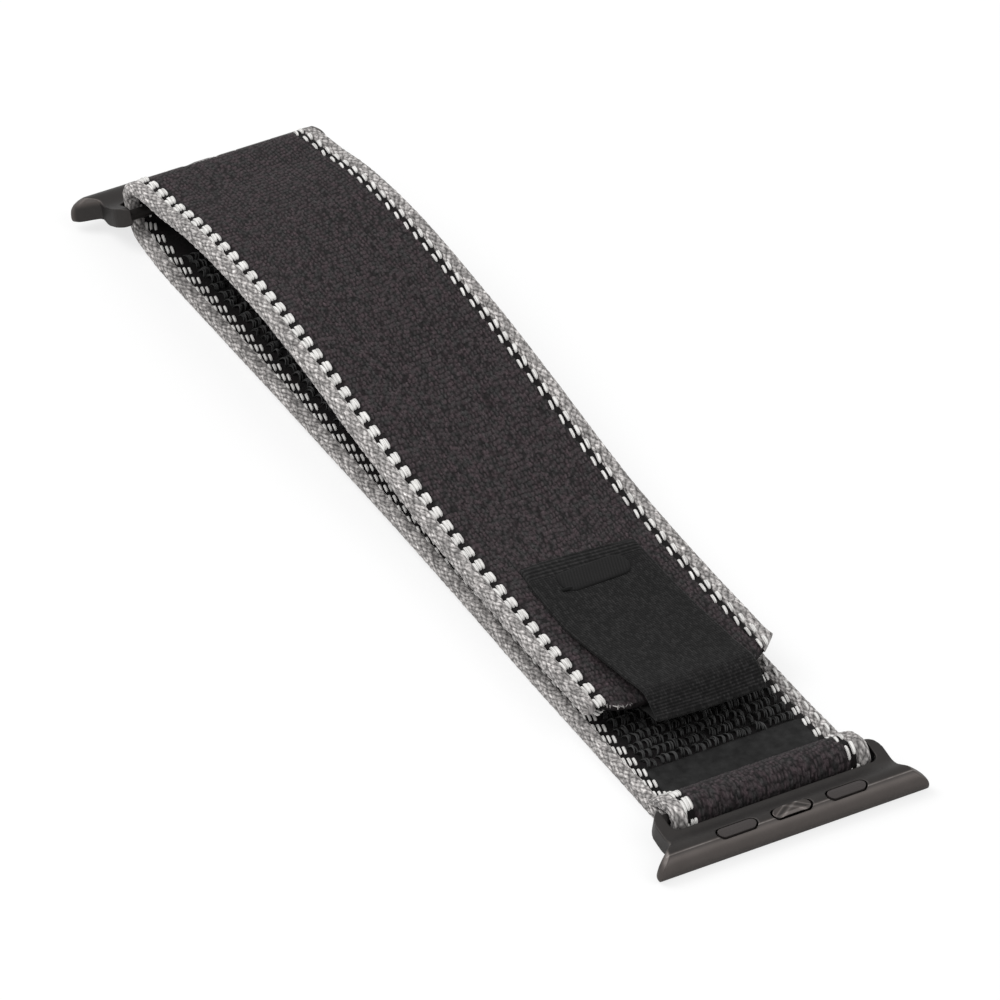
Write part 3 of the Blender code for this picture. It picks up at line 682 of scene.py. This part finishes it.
def body(name, start, end, reach=None):
    """The charcoal ground between the edges: nubs on each warp, each with its own height.

    reach says how far past the end the cut runs at each place across the free end.
    """
    s = samples(start, end, 20)
    half = np.arange(-HALF_WARPS, HALF_WARPS + 1)
    v_top = half * WARP_PITCH / 2
    warp = np.floor_divide(half, 2)
    crest = (half % 2 != 0)
    row = picks(s)[:, None] + 0.7 * scatter(3, warp)
    number = np.round(row)
    off = row - number
    off = off + 0.5 * (scatter(number, warp) - 0.5) * (1 - 4 * off ** 2)
    full = np.abs(np.cos(math.pi * off)) ** 0.45
    own = scatter(number + 31, warp)
    size = np.where(own < 0.08, 0.15, 0.45 + 0.65 * own)
    bridge = 0.08 + 0.62 * scatter(number + 57, warp) ** 1.5
    top = np.where(crest, -0.06 + 0.13 * full * size, -0.08 + 0.03 * full)
    # Painted shade: the lift is low in the hollows between crowns and in the troughs beside the
    # floats, with each crown's own tone mixed in
    lift_top = np.where(crest, 0.08 + 0.8 * full * size, bridge * full)
    trough = unit((np.abs(v_top) - np.where(v_top < 0, *TROUGH)) / 0.25)
    if reach is not None:
        done = unit((s[:, None] - end + END_TAPER) / 1.5)
        trough = trough * (1 - done * (v_top > 0))
    top = top * (1 - trough) - 0.14 * trough
    lift_top = lift_top * (1 - 0.9 * trough)
    slant = -0.18 * off * unit((10.0 - np.abs(v_top)) / 0.5)
    edge = v_top[-1]
    side_v = (edge + 0.08, edge + 0.08, edge)
    side_h = (0.45, -0.45, -0.62)
    tail_v = np.array([*side_v, *np.linspace(edge - 1.5, -edge + 1.5, 12),
                       *(-v for v in side_v[::-1])])
    fixed = np.array([*side_h, *[-0.64] * 12, *side_h[::-1]])
    tail = len(tail_v)
    h = beside(top + HALF_WEB - 0.07, fixed, tail)
    lift = beside(lift_top, 0.02, tail)
    v = beside(v_top + slant, tail_v, tail)
    sv = np.broadcast_to(s[:, None], h.shape)
    if reach is not None:
        near = unit((sv - (end - END_TAPER)) / END_TAPER)
        sv = sv + reach(np.concatenate([v_top, tail_v])) * near
        h = np.where(h < 0, h * (1 - 0.6 * near ** 6),
                     h * (1 - 0.25 * near ** 4) - 0.1 * near ** 4)
    shape = Shape()
    uv = np.stack([sv, v], -1)
    base = shape.tube(web_point(sv, v, h)[:, ::-1], uv[:, ::-1], lift[:, ::-1], caps=False)
    across = v[:, ::-1].ravel()
    for row, order in ((0, 1), (len(s) - 1, -1)):
        ring = base + row * v.shape[1] + np.arange(v.shape[1])
        shape.wall(ring[tail:][::-1], ring[:tail], across, order)
    return shape.make(name, WEBBING)


def edges(name, start, end_left, end_right, free=False):
    """The two heather edges: flattened cords covered with small stitches, frayed if free."""
    shape = Shape()
    sides = 40
    power = 0.72
    for side, end in ((-1, end_left), (1, end_right)):
        s = samples(start, end, 24)
        angle = turn(sides)
        w = STITCHES_ROUND * (np.arange(sides) / sides)
        u = STITCHES_ALONG * phase(s)[:, None]
        u = (u + 0.3 * np.sin(1.9 * u * math.pi / STITCHES_ALONG + side) * np.cos(w * 0.7)
             + 0.25 * np.sin(0.61 * u + w))
        stitch = np.abs(np.cos(math.pi * u) + np.cos(math.pi * w)) / 2
        own = scatter(np.round((u + w) / 2), np.round((u - w) / 2) + 50 * side)
        c, q = np.cos(angle), np.sin(angle)
        grow = 0.10 * stitch ** 0.7 * (0.5 + 0.6 * own)
        bulk = np.interp(s, (S_JOIN - 2, S_JOIN + 6), (1.12, 1.0))[:, None]
        across = (EDGE_HALF - 0.05) * blunt(c, power) * bulk + grow * c
        h = EDGE_HIGH * blunt(q, power) * bulk + grow * q
        middle = np.interp(s, (S_TURN - 8, S_TURN + 8), (-0.1, 0.03))[:, None]
        # At the free end both cords close, the left one narrows and the right one's cut slants
        close, flare = 1.0, 0.0
        if free:
            close = unit((s[-1] - s) / 0.45)[:, None] ** 0.5 * 0.4 + 0.6
            if side > 0:
                flare = unit((s - end + 2.2) / 2.2)[:, None] ** 2
        narrow = close if side < 0 else 1.0
        v = side * (EDGE_MID + 0.1 + across * narrow * (1 + 0.45 * flare) + 0.05 * flare)
        sv = np.broadcast_to(s[:, None], v.shape) - 1.4 * flare * np.clip(across, -0.8, 0.9)
        points = web_point(sv, v, middle + h * close * (1 - 0.35 * flare))
        # Painted shade darkens the pits between the stitches; each stitch keeps its own tone
        lift = unit(stitch ** 0.7 * (0.32 + 0.85 * own) * (1.1 if side < 0 else 1.0))
        shape.tube(points, pairs(s, np.arange(sides + 1) / sides * 5.2), lift)
    if free:
        for v in np.arange(-10.9, -7.0, 0.24):
            j = rng.normal(0, 1, 3)
            yarn(shape, S_END + float(end_bow(v)) - 0.12 + 0.08 * j[0], v, 0.6 + 0.15 * j[1],
                 0.15, 0.12, 1, 0.2 * j[2], base=0.3, lift=0.14 + 0.2 * abs(j[2]))
    return shape.make(name, HEATHER)


def yarn(shape, middle, v, length, width, height, outward, slant=0.0, base=0.62, lift=1.0):
    """One float on a face of the webbing: a blunt bar of yarn whose ends sink into it."""
    rings, sides = 9, 8
    t = np.sin(np.linspace(-math.pi / 2, math.pi / 2, rings))
    bow = unit(1 - t ** 4) ** 0.5
    angle = (np.arange(sides) + 0.5) / sides * math.tau
    swell = (0.45 + 0.55 * bow)[:, None]
    s = middle + t * length / 2
    across = v + slant * t[:, None] + width / 2 * swell * blunt(np.cos(angle), 0.8)
    up = base + height * (bow[:, None] - 0.6) + 0.55 * height * swell * np.sin(angle)
    points = web_point(s[:, None], across, outward * up)
    if outward < 0:
        points = points[:, ::-1]
    shape.tube(points, pairs(s + v, np.arange(sides + 1) / sides * 1.4 + v * 3.1), lift)


# Each repeat's floats on the outer face: shift along, place across, share of the repeat, width,
# height and slant
LEFT_FLOATS = ((0.0, -9.66, 0.66, 0.46, 0.27, -0.05), (0.0, -10.06, 0.66, 0.46, 0.28, -0.05),
               (0.22, -10.50, 0.60, 0.38, 0.22, 0.0))
# The same, with what the shift loses and the place gains towards the free end
RIGHT_FLOATS = ((0.5, 0.6, 9.60, 0.4, 0.62, 0.36, 0.25, -0.11),
                (0.2, 0.4, 10.35, 0.45, 0.60, 0.48, 0.28, -0.11))
# Width, height, face and slant of a float on the inner face
INNER_FLOAT = (0.36, 0.26, -1, 0.14)


def floats(name, start, end, end_left, end_right):
    """White floats beside the edges, on both faces."""
    shape = Shape()
    for number in range(math.ceil(float(phase(start)) - 0.3), int(float(phase(end)) + 1.3)):
        here = float(phase_s(number))
        size = float(phase_s(number + 0.5) - phase_s(number - 0.5))
        if not start <= here < end:
            continue
        j = rng.normal(0, 0.03, 24)
        if here + 0.75 < end_left:
            for k, (shift, v, share, wide, high, slant) in enumerate(LEFT_FLOATS):
                yarn(shape, here + shift + j[2 * k], v, size * share, wide, high, 1,
                     slant + j[2 * k + 1])
        if here + 0.6 < end_right:
            near = unit((here - S_END + 12.0) / 9.0)
            for k, (shift, less, v, more, share, wide, high, slant) in enumerate(RIGHT_FLOATS):
                yarn(shape, here + shift - less * near + j[6 + k], v + more * near, size * share,
                     wide, high, 1, slant + j[2 * k + 1])
        if here + 0.5 <= end_left - 0.5:
            for k, v in enumerate((-9.6, -10.1, -10.6)):
                yarn(shape, here - 0.28 + 0.28 * k + j[8 + k], v, size * 0.6, *INNER_FLOAT)
        if here + 0.5 <= end_right - 0.5:
            for k, v in enumerate((9.75, 10.25)):
                yarn(shape, here - 1.0 + 0.1 * k + j[11 + k], v, size * 0.6, *INNER_FLOAT)
            yarn(shape, here - 1.1 + j[13], 11.2, size * 0.62, 0.34, 0.3, -1, 0.1, base=0.96)
    return shape.make(name, WHITE)


def loops(name, start, end):
    """Rows of loops on the inner face, each of three thin strands side by side that lean over."""
    shape = Shape()
    half = TROUGH[0]
    rows = max(1, int(round(abs(end - start) / LOOP_ROW)))
    rings, sides = 8, 5
    t = np.linspace(0, 1, rings)
    arch = np.sin(math.pi * t)
    lean = np.cos(math.pi * t)
    angle = turn(sides)
    count = int(2 * half / LOOP_PITCH)
    for row in range(rows):
        s0 = start + (row + 0.5) * (end - start) / rows
        for k in range(count):
            v0 = -half + (k + 0.5 + 0.3 * (row % 2)) * 2 * half / (count + 0.3)
            a = rng.normal(0, 1, 6)
            tall = 0.52 + 0.10 * a[3]
            gap = 0.14 + 0.02 * a[4]
            for strand in (-1, 0, 1):
                b = rng.normal(0, 1, 4)
                s = s0 + 0.10 * a[0] + 0.10 * b[0] - (t - 0.5) * (1.45 + 0.12 * a[5] + 0.12 * b[3])
                v = (v0 + 0.07 * a[1] + gap * strand + 0.03 * b[2]
                     + (0.25 + 0.10 * a[2]) * arch + 0.12 * (t - 0.5))
                high = (tall + 0.07 * b[1]) * arch ** 0.8
                thick = 0.088 + 0.008 * b[2]
                up = thick * np.sin(angle)
                points = web_point(s[:, None] + up * lean[:, None],
                                   v[:, None] + thick * np.cos(angle),
                                   -(0.58 + high[:, None] + up * np.sqrt(1 - lean ** 2)[:, None]))
                # Painted light: shade near black at each loop's roots and a painted highlight at
                # its top, with its own tone
                shade = unit(arch * (0.68 + 0.18 * a[5] + 0.15 * b[1]))
                shape.tube(points, pairs(t, np.arange(sides + 1) / sides + v0),
                           shade[:, None])
    return shape.make(name, PILE)


def gap_near(s):
    """The gap between two rows of crowns nearest to s, where a cut doesn't show."""
    gap = 0.38
    return float(phase_s((round(2 * float(phase(s)) - gap) + gap) / 2))


S_END = upper_s(STRAP_END)
S_LOWER = gap_near(lower_s(LOWER_CUT_X))
S_LOW_CUT = gap_near(lower_s(CUT_X))
S_HIGH_CUT = gap_near(upper_s(CUT_X))
S_UPPER = gap_near(upper_s(UPPER_CUT_X))

# Each bend: the bodies before and after it, and where it starts and ends along X
BENDS = {"far": ("loop_end", "middle", -43.0, -21.0), "near": ("middle", "closure", -13.0, 7.0),
         "peel": ("closure", "free_end", 13.0, 23.0)}


def follow(piece, how, nodes):
    """Parents a piece to a body, or for a bend bakes its place into its mesh, and hides the CAD
    parts it stands for.
    """
    if how in BENDS:
        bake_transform(piece)
    else:
        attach(piece, how)
    if nodes:
        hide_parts(*nodes)
    return piece


# The free end's cut edge: how far along X it lies at each place across
END_V = (-12.2, -10.1, -9.2, -8.0, -6.8, 0.0, 6.0, 8.2, 9.2, 10.3, 12.4)
END_X = (43.6, 43.7, 44.6, 45.3, 45.5, 45.6, 45.6, 45.2, 44.5, 43.8, 42.2)


def end_bow(v):
    """How far past STRAP_END the free end's cut edge lies."""
    return np.interp(v, END_V, END_X) - STRAP_END


END_LEFT = upper_s(43.8)
END_RIGHT = upper_s(43.05)
# Each stretch of webbing: its name, start and end, what it follows, and the nodes it stands for
SEGMENTS = (("fixed", 0.0, S_LOWER, "closure", ("end_wrap",)),
            ("lower", S_LOWER, S_LOW_CUT, "near", ("lower_near", "lower_middle")),
            ("fold", S_LOW_CUT, S_HIGH_CUT, "far", ("lower_far", "bar_fold", "upper_far")),
            ("upper", S_HIGH_CUT, S_UPPER, "near", ("upper_middle", "upper_near")),
            ("end", S_UPPER, S_END, "peel", ("free_end",)))
PILES = (("fixed", lower_s(52.5), S_LOWER, "closure", ("pile_lower_near",)),
         ("lower", S_LOWER, S_LOW_CUT, "near", ("pile_lower_middle",)),
         ("fold_lower", S_LOW_CUT, lower_s(FOLD_X), "far", ("pile_lower_far",)),
         ("fold_upper", upper_s(FOLD_X), S_HIGH_CUT, "far", ("pile_upper_far",)),
         ("upper", S_HIGH_CUT, S_UPPER, "near", ("pile_upper_middle",)),
         ("end", S_UPPER, upper_s(17.0), "closure", ("pile_upper_near",)))

for label, start, end, how, nodes in SEGMENTS:
    last = label == "end"
    ground = body("webbing_" + label, start, end, end_bow if last else None)
    follow(ground, how, nodes)
    cord_ends = (END_LEFT, END_RIGHT) if last else (end, end)
    float_ends = (END_LEFT + 1.3, END_RIGHT + 1.0) if last else (end + 3, end + 3)
    follow(edges("edges_" + label, start, *cord_ends, last), how,
           [node + edge for node in nodes for edge in ("_edge_left", "_edge_right")])
    follow(floats("floats_" + label, start, end, *float_ends), how, ())
for label, start, end, how, nodes in PILES:
    follow(loops("loops_" + label, start, end), how, nodes)


# Band between the pile and the wrap

def band():
    """A thin strip on the webbing's inner face with rounded long edges."""
    half, low, high = BODY_HALF - 0.75, 0.60, 0.86
    v, h = there_and_back(half, 30, high, low)
    h = low + (h - low) * (0.4 + 0.6 * unit((half - np.abs(v)) / 0.3) ** 0.5)
    uv = pairs(np.linspace(lower_s(57.4), lower_s(52.7), 14), v)
    h = h + 0.03 * np.sin(uv[..., 1] * 1.3) * (h > (low + high) / 2)
    shape = Shape()
    shape.tube(web_point(uv[..., 0], uv[..., 1], -h), uv)
    return shape.make("bond_strip", BAND)


follow(band(), "closure", ("bond_band",))


# Pull tab

TAB_HALF = 6.75
TAB_MID = 0.25
TAB_THICK = 0.4
TAB_COLUMNS = 157
TAB_RIB = 0.37
TAB_CORNER = 0.6
TACK_X = 24.25
TAB_LINE = ((19.6, 5.05), (20.4, 5.25), (24.0, 5.30), (28.0, 5.28), (32.0, 5.38), (36.0, 5.74),
            (38.3, 6.0), (40.5, 6.24), (43.0, 6.46), (45.2, 6.82), (46.7, 6.98), (47.7, 6.72),
            (48.5, 6.12), (49.3, 5.46), (49.8, 5.08), (49.75, 4.8), (48.7, 4.42), (46.0, 3.88),
            (43.5, 3.52), (41.0, 3.38))
TAB = Path(catmull(TAB_LINE, 10), 0.05, 0.3)
# How much each of the tab's edges stands above its middle, and how much wider its left half is
CURL_S = (0.0, 10.0, 17.0, 22.0, 26.0, 28.5, 29.8, 31.0, 32.4, 36.0, 43.0)
CURL_LEFT = (-0.12, -0.14, -0.05, 0.12, 0.15, 0.2, 0.25, 0.5, 0.3, -0.1, -0.1)
CURL_RIGHT = (0.12, 0.14, 0.2, 0.2, 0.15, 0.25, 0.15, 0.05, 0.05, 0.1, 0.1)
WIDER_S = (0.0, 4.4, 11.6, 17.0, 26.0, 31.0, 34.0, 43.0)
WIDER_LEFT = (0.03, 0.09, 0.13, 0.08, 0.01, 0.0, -0.08, -0.12)


def tab():
    """A ribbon over the free end, bowed up before its tip and folded back beneath."""
    s = np.arange(0, TAB.length, 0.06)
    rib = np.interp(s, (0, 2.6, 50), (0, 4.2, 4.2 + 47.4 / TAB_RIB))[:, None]
    strong = np.interp(s, (0, 2.4, 3.2, 27, 29, 32, 34), (1, 1, 0.3, 0.3, 0.9, 0.9, 0.3))[:, None]
    columns = np.linspace(-TAB_HALF, TAB_HALF, TAB_COLUMNS)
    thread = np.arange(TAB_COLUMNS) // 3
    ridge = np.cos(math.tau * rib)
    cross = np.where(np.arange(TAB_COLUMNS) % 3 == 1, 1.0, -0.5)
    own = scatter(np.floor(rib * 0.8 + scatter(5, thread)), thread)
    weave = 0.03 * strong * ridge + 0.02 * cross * (1.3 - strong)
    # Painted shade between the ribs and threads, with each thread's own tone
    lift_top = unit(0.36 + 0.3 * strong * ridge + 0.3 * (1.3 - strong) * cross
                    + 0.6 * (own - 0.5))
    fade = unit((TAB_HALF - np.abs(columns)) / 0.25) ** 0.5
    h_top = (TAB_THICK / 2 + weave) * (0.4 + 0.6 * fade)
    under = np.linspace(TAB_HALF, -TAB_HALF, 12)
    v = np.concatenate([columns, under])
    h = beside(h_top, -0.16, len(under))
    # Painted shade: from the tip on, where the ribbon turns back beneath, it is darkened
    lift = beside(lift_top, 0.5, len(under)) * np.interp(s, (31.5, 33.0), (1.0, 0.4))[:, None]
    start = 0.55 + 0.125 * v + corner(TAB_CORNER - (TAB_HALF - np.abs(v)), TAB_CORNER)
    sv = s[:, None] + start * unit(1 - s / 9)[:, None]
    x, z, nx, nz = TAB.at(sv)
    share = v / TAB_HALF
    raised = (np.interp(sv, CURL_S, CURL_LEFT) * unit(-share) ** 1.5
              + np.interp(sv, CURL_S, CURL_RIGHT) * unit(share) ** 1.5
              + np.interp(sv, (0, 12, 20), (0.2, 0.2, 0.0)))
    y = v * (1 + np.interp(sv, WIDER_S, WIDER_LEFT) * (v < 0)) + TAB_MID
    press = 0.1 * np.exp(-((x - TACK_X) / 2.2) ** 4 - (v / 4.6) ** 4)
    points = np.stack([x + nx * h, y, z + nz * h + raised - press], -1)
    shape = Shape()
    uv = np.stack([sv, np.broadcast_to(v, h.shape)], -1)
    shape.tube(points[:, ::-1], uv[:, ::-1], lift[:, ::-1])
    return shape.make("tab_ribbon", RIBBON)


ribbon = tab()
follow(ribbon, "free_end", ("pull_tab",))


# Bar tack

def tack():
    """A pressed oblong: slanted stitches across it, low on the ribbon, with a knot at one end."""
    half_long, half_wide = 4.25, 1.85
    shape = Shape()
    rows, sides = 90, 24
    t = np.linspace(-1, 1, rows)
    reach = half_long - half_wide * 0.8
    along = blunt(t, 0.9) * half_long
    over = unit((np.abs(along) - reach) / (half_long - reach))
    wide = half_wide * np.clip(1 - over ** 2.4, 0.03, 1) ** 0.5
    share = np.linspace(-1, 1, sides)
    x = TACK_X + wide[:, None] * share
    y = np.broadcast_to(along[:, None] + 0.15, x.shape)
    crown = unit(1 - share ** 6) ** 0.5
    crown = crown * unit((half_long - np.abs(along)) / 0.4)[:, None] ** 0.5
    stitch = np.abs(np.sin(math.pi * (y + 0.35 * (x - TACK_X)) / 0.36))
    base = 5.44 + 0.24 * (y + 12) / 12
    top = base + (0.10 + 0.045 * stitch) * crown
    lower = np.stack([x, y, base - 0.08], -1)[:, ::-1]
    points = np.concatenate([np.stack([x, y, top], -1), lower], 1)
    # Painted shade between the stitches and towards the oblong's low edges
    lift = beside((0.2 + 0.6 * stitch) * (0.3 + 0.7 * crown), 0.3, sides)
    shape.tube(points, points[..., 1::-1], lift)
    t = np.linspace(-1, 1, 9)[:, None]
    angle = turn(8)
    ball = np.sqrt(np.clip(1 - t ** 2, 0.02, 1))
    knot = np.stack([25.35 + 0.34 * ball * np.cos(angle), -3.7 + 0.75 * t + 0 * angle,
                     5.66 + 0.16 * ball * np.sin(angle)], -1)
    shape.tube(knot, None, 0.05)
    return shape.make("tack_threads", TACK)


follow(tack(), "free_end", ("bar_tack",))


# Hook patch

def hooks():
    """Rows of small hooks on a dark backing, beneath the free end."""
    shape = Shape()
    first, last = upper_s(21.0), upper_s(38.5)
    v, h = there_and_back(8.5, 20, -0.80, -1.0)
    uv = pairs(np.linspace(first, last, 30), v)
    shape.tube(web_point(uv[..., 0], uv[..., 1], h), uv, 0.4)
    t = np.linspace(0, 1, 7)
    angle = turn(5)
    for row, s0 in enumerate(np.arange(first + 0.6, last - 0.5, 0.95)):
        for k, v0 in enumerate(np.arange(-8.0, 8.1, 0.8)):
            bend = 1 if (row + k) % 2 else -1
            s = s0 + bend * 0.32 * (1 - np.cos(math.pi * t)) / 2
            h = -(0.95 + 0.62 * np.sin(math.pi * t * 0.8) ** 0.9)
            v = v0 + 0.2 * (row % 2) + 0.08 * np.sin(angle)
            shape.tube(web_point(s[:, None] + 0.08 * np.cos(angle), v, h[:, None]))
    return shape.make("hook_rows", HOOK)


follow(hooks(), "free_end", ("hook_patch",))


# Lugs. Their own axes are outward, across and up, from the bar's axis

# Each lug's bar in X and Z, its lean's cosine and sine, and which way along X it points
LUG_AXES = {}
for end, bar, degrees, way in (("near", NEAR_BAR, 12.0, 1), ("far", FAR_BAR, 24.5, -1)):
    lean = math.radians(degrees)
    LUG_AXES[end] = (*bar, way * math.cos(lean), -math.sin(lean), way)
PLATE_HALF = 1.125
RAIL_TOP = 2.285
RAIL_LOW = -0.475
RIDGE_OUT = 6.0
NOSE_MID = (5.419, 0.497)
NOSE_ROUND = 1.88
LIP_MID = (6.82, -0.075)
LIP_ROUND = 0.4
SLOT_WALL = 2.5
SLOT_HALF = 12.65
SLOT_ROUND = 0.9
ARM_HALF = 14.05
ARM_ROUND = 2.6
RAIL_HALF = 16.65
BAR_ROUND = 0.65
PILL_OUT = 5.5
PILL_PITCH = 6.74
PILL_LENGTH = 5.0
PILL_WIDTH = 1.7


def lug_place(end, out, up):
    """X and Z of a place in a lug's own axes."""
    bar_x, bar_z, c, s, way = LUG_AXES[end]
    return bar_x + out * c - up * s * way, bar_z + out * s + up * c * way


def end_slope(up):
    """How far the rail's sloping ends have come in, as a share, at a height."""
    return unit((up + 0.3) / 2.585) ** 2.2


def lug_heights(out):
    """The frame's top and underside at a distance out from the bar."""
    plate = chord(np.clip(-0.125 - out, 0, PLATE_HALF), PLATE_HALF)
    nose = chord(out - NOSE_MID[0], NOSE_ROUND)
    top = np.where(out > RIDGE_OUT, NOSE_MID[1] + nose,
                   plate + (RAIL_TOP - PLATE_HALF) * rise((out - 2.65) / 3.0))
    low = -plate + (RAIL_LOW + PLATE_HALF) * rise((out - 2.75) / 2.0)
    low = np.where(out > LIP_MID[0], LIP_MID[1] - chord(out - LIP_MID[0], LIP_ROUND), low)
    return top, np.where(out > LIP_MID[0] + LIP_ROUND, NOSE_MID[1] - nose, low)


def lug_half(out, up):
    """Half the frame's length: round at the arms, flared to the rail, its ends sloping in."""
    plan = ARM_HALF + 2.6 * rise((out - 4.0) / 2.9) - corner(1.35 - out, ARM_ROUND)
    plan = plan - corner(out - 6.85, 0.45)
    front = RAIL_HALF - 1.6 * end_slope(up) - corner(0.125 - up, 0.6)
    return -np.log(np.exp(-4 * plan) + np.exp(-4 * front)) / 4


def welded(shape, name):
    """A working solid whose caps share their points with its sides."""
    thing = shape.make(name, METAL)
    mesh = bmesh.new()
    mesh.from_mesh(thing.data)
    bmesh.ops.remove_doubles(mesh, verts=mesh.verts, dist=1e-7)
    bmesh.ops.recalc_face_normals(mesh, faces=mesh.faces)
    mesh.to_mesh(thing.data)
    mesh.free()
    return thing


def prism(outline, low, high):
    """An upright prism on an outline seen from above."""
    ring = np.array(outline)
    shape = Shape()
    shape.tube(np.stack([np.column_stack([ring, np.full(len(ring), z)]) for z in (low, high)]))
    return welded(shape, "cutter")


def pill(y, length=PILL_LENGTH):
    """An oblong outline on the rail, long across the strap."""
    angle = np.linspace(0, math.tau, 32, endpoint=False) + math.tau / 64
    return np.column_stack([PILL_OUT + PILL_WIDTH / 2 * np.cos(angle),
                            y + np.sign(np.sin(angle)) * (length - PILL_WIDTH) / 2
                            + PILL_WIDTH / 2 * np.sin(angle)])


def lug_mesh():
    """The frame: rail, plate, arms and bar, with its recesses, all edges eased."""
    quarter = np.radians(np.linspace(0, 90, 9))
    last = np.radians(np.linspace(14, 1, 5))
    out = np.unique(np.concatenate([
        -0.125 - 1.124 * np.cos(quarter), np.linspace(0, 2.6, 7), np.linspace(2.65, RIDGE_OUT, 22),
        np.linspace(6.05, 6.8, 9), LIP_MID[0] + LIP_ROUND * np.sin(quarter),
        NOSE_MID[0] + NOSE_ROUND * np.cos(last)]))
    top, low = lug_heights(out)
    share = np.linspace(0, 1, 14)
    up = top[:, None] + (low - top)[:, None] * share
    half = lug_half(out[:, None], up)
    y = np.concatenate([half, -half[:, ::-1]], 1)
    up = np.concatenate([up, up[:, ::-1]], 1)
    shape = Shape()
    shape.tube(np.stack([np.broadcast_to(out[:, None], y.shape), y, up], -1))
    frame_solid = welded(shape, "frame")
    quarter = np.radians(np.linspace(0, 90, 6))
    right = np.column_stack([SLOT_WALL - SLOT_ROUND + SLOT_ROUND * np.cos(quarter),
                             SLOT_HALF - SLOT_ROUND + SLOT_ROUND * np.sin(quarter)])
    slot = np.concatenate([right, [(-3.0, SLOT_HALF), (-3.0, -SLOT_HALF)],
                           (right * (1, -1))[::-1]])
    angle = turn(24)
    bar = Shape()
    bar.tube(np.stack([np.column_stack([BAR_ROUND * np.cos(angle), np.full(24, y),
                                        BAR_ROUND * np.sin(angle)]) for y in (-13.2, 13.2)]))
    steps = [(prism(slot, -3.0, 4.0), "DIFFERENCE"), (welded(bar, "bar"), "UNION"),
             (prism(pill(0.0), 0.9, 4.0), "DIFFERENCE"),
             (prism(pill(0.0, 6.0), -3.0, 1.325), "DIFFERENCE")]
    steps += [(prism(pill(side * PILL_PITCH), 1.315, 4.0), "DIFFERENCE") for side in (-1, 1)]
    for cutter, operation in steps:
        configured(frame_solid.modifiers.new("step", "BOOLEAN"), operation=operation,
                   solver="EXACT", object=cutter)
    mesh = rounded(frame_solid, 0.1, 3)
    for thing in [frame_solid] + [cutter for cutter, _ in steps]:
        bpy.data.objects.remove(thing)
    return mesh


def rounded(thing, voxel, rounds):
    """The thing's mesh with every edge eased."""
    configured(thing.modifiers.new("remesh", "REMESH"), mode="VOXEL", voxel_size=voxel * MM,
               use_smooth_shade=True)
    configured(thing.modifiers.new("smooth", "SMOOTH"), factor=0.5, iterations=rounds)
    bpy.context.view_layer.update()
    graph = bpy.context.evaluated_depsgraph_get()
    return bpy.data.meshes.new_from_object(thing.evaluated_get(graph))


def lug_frame(end, source):
    """One lug's frame in its place: a painted highlight with wear along the ridge, the top of the
    ends lighter, and painted light on the nose's front.
    """
    mesh = source.copy()
    out, across, up = get_points(mesh)
    # Painted highlight and wear along the ridge
    ridge = np.exp(-((out - RIDGE_OUT - 0.03) / 0.09) ** 2) * (up > 2.0)
    ends = 0.62 * np.exp(-((np.abs(across) - lug_half(out, up)) / 0.08) ** 2)
    ends = ends * rise((up - 1.0) / 0.8)
    # Painted light: the nose's front is made lighter than the top
    nose = 0.45 * rise((out - RIDGE_OUT) / 0.6)
    set_lift(mesh, np.maximum.reduce([ridge, ends, nose]))
    x, z = lug_place(end, out, up)
    y = across * LUG_AXES[end][-1]
    y = np.where(y < 0, y - 0.4 * rise((-y - 13.5) / 3.0),
                 y - 0.45 * end_slope(up) * rise((y - 13.0) / 2.0))
    set_points(mesh, x, y, z)
    dress(mesh, METAL)
    return add_object(end + "_lug_frame", mesh)


def latch_copy(end):
    """A latch with its edges eased, its crown set low, and painted light on its crown: painted
    highlights on the crests of its ramps with a painted shade band between them.
    """
    thing = add_object(end + "_latch_crown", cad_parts[end + "_latch"].data.copy())
    mesh = rounded(thing, 0.06, 2)
    thing.modifiers.clear()
    thing.data = mesh
    x, y, z = get_points(mesh)
    bar_x, bar_z, c, s, way = LUG_AXES[end]
    out = (x - bar_x) * c + (z - bar_z) * s
    up = ((z - bar_z) * c - (x - bar_x) * s) * way
    crest = 1.67 * (out - PILL_OUT)
    # Painted light on the crown: bright slanted glints on the ramps' crests and a darker band
    # between them
    lift = 0.25 + 0 * up
    for slope in (y * way + crest, -y * way + crest):
        for share, at, spread in ((0.5, 1.65, 0.16), (0.5, 0.3, 0.3), (-0.25, 1.05, 0.26)):
            lift = lift + share * np.exp(-((slope + at) / spread) ** 2)
    drop = 0.2 * rise((up - 1.6) / 0.7) + 0.16 * rise((out - 5.75) / 0.4) * rise((up - 2.1) / 0.3)
    set_points(mesh, x + drop * s * way, y, z - drop * c * way)
    # Painted light: the crown lighter than the latch's sides
    set_lift(mesh, np.where(up > 1.9, lift, 0.1))
    dress(mesh, LATCH_METAL)
    return thing


def leaf_spring(end):
    """The latch's spring, copied from its CAD part and bound to the lug; it keeps its modelled
    shape, though the real one flattens onto the plug as the latch is pressed.
    """
    node = end + "_latch_spring"
    thing = add_object(end + "_leaf_spring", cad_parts[node].data.copy())
    dress(thing.data, SPRING_METAL)
    follow(thing, end + "_lug", (node,))
    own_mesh(thing)


LUG_MESH = lug_mesh()
for end in LUG_AXES:
    follow(lug_frame(end, LUG_MESH), end + "_lug", (end + "_lug",))
    follow(latch_copy(end), end + "_latch", (end + "_latch",))
    for part, look in (("_pad_left", POLYMER), ("_pad_right", POLYMER), ("_latch_plug", METAL)):
        dress(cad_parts[end + part].data, look)
    leaf_spring(end)
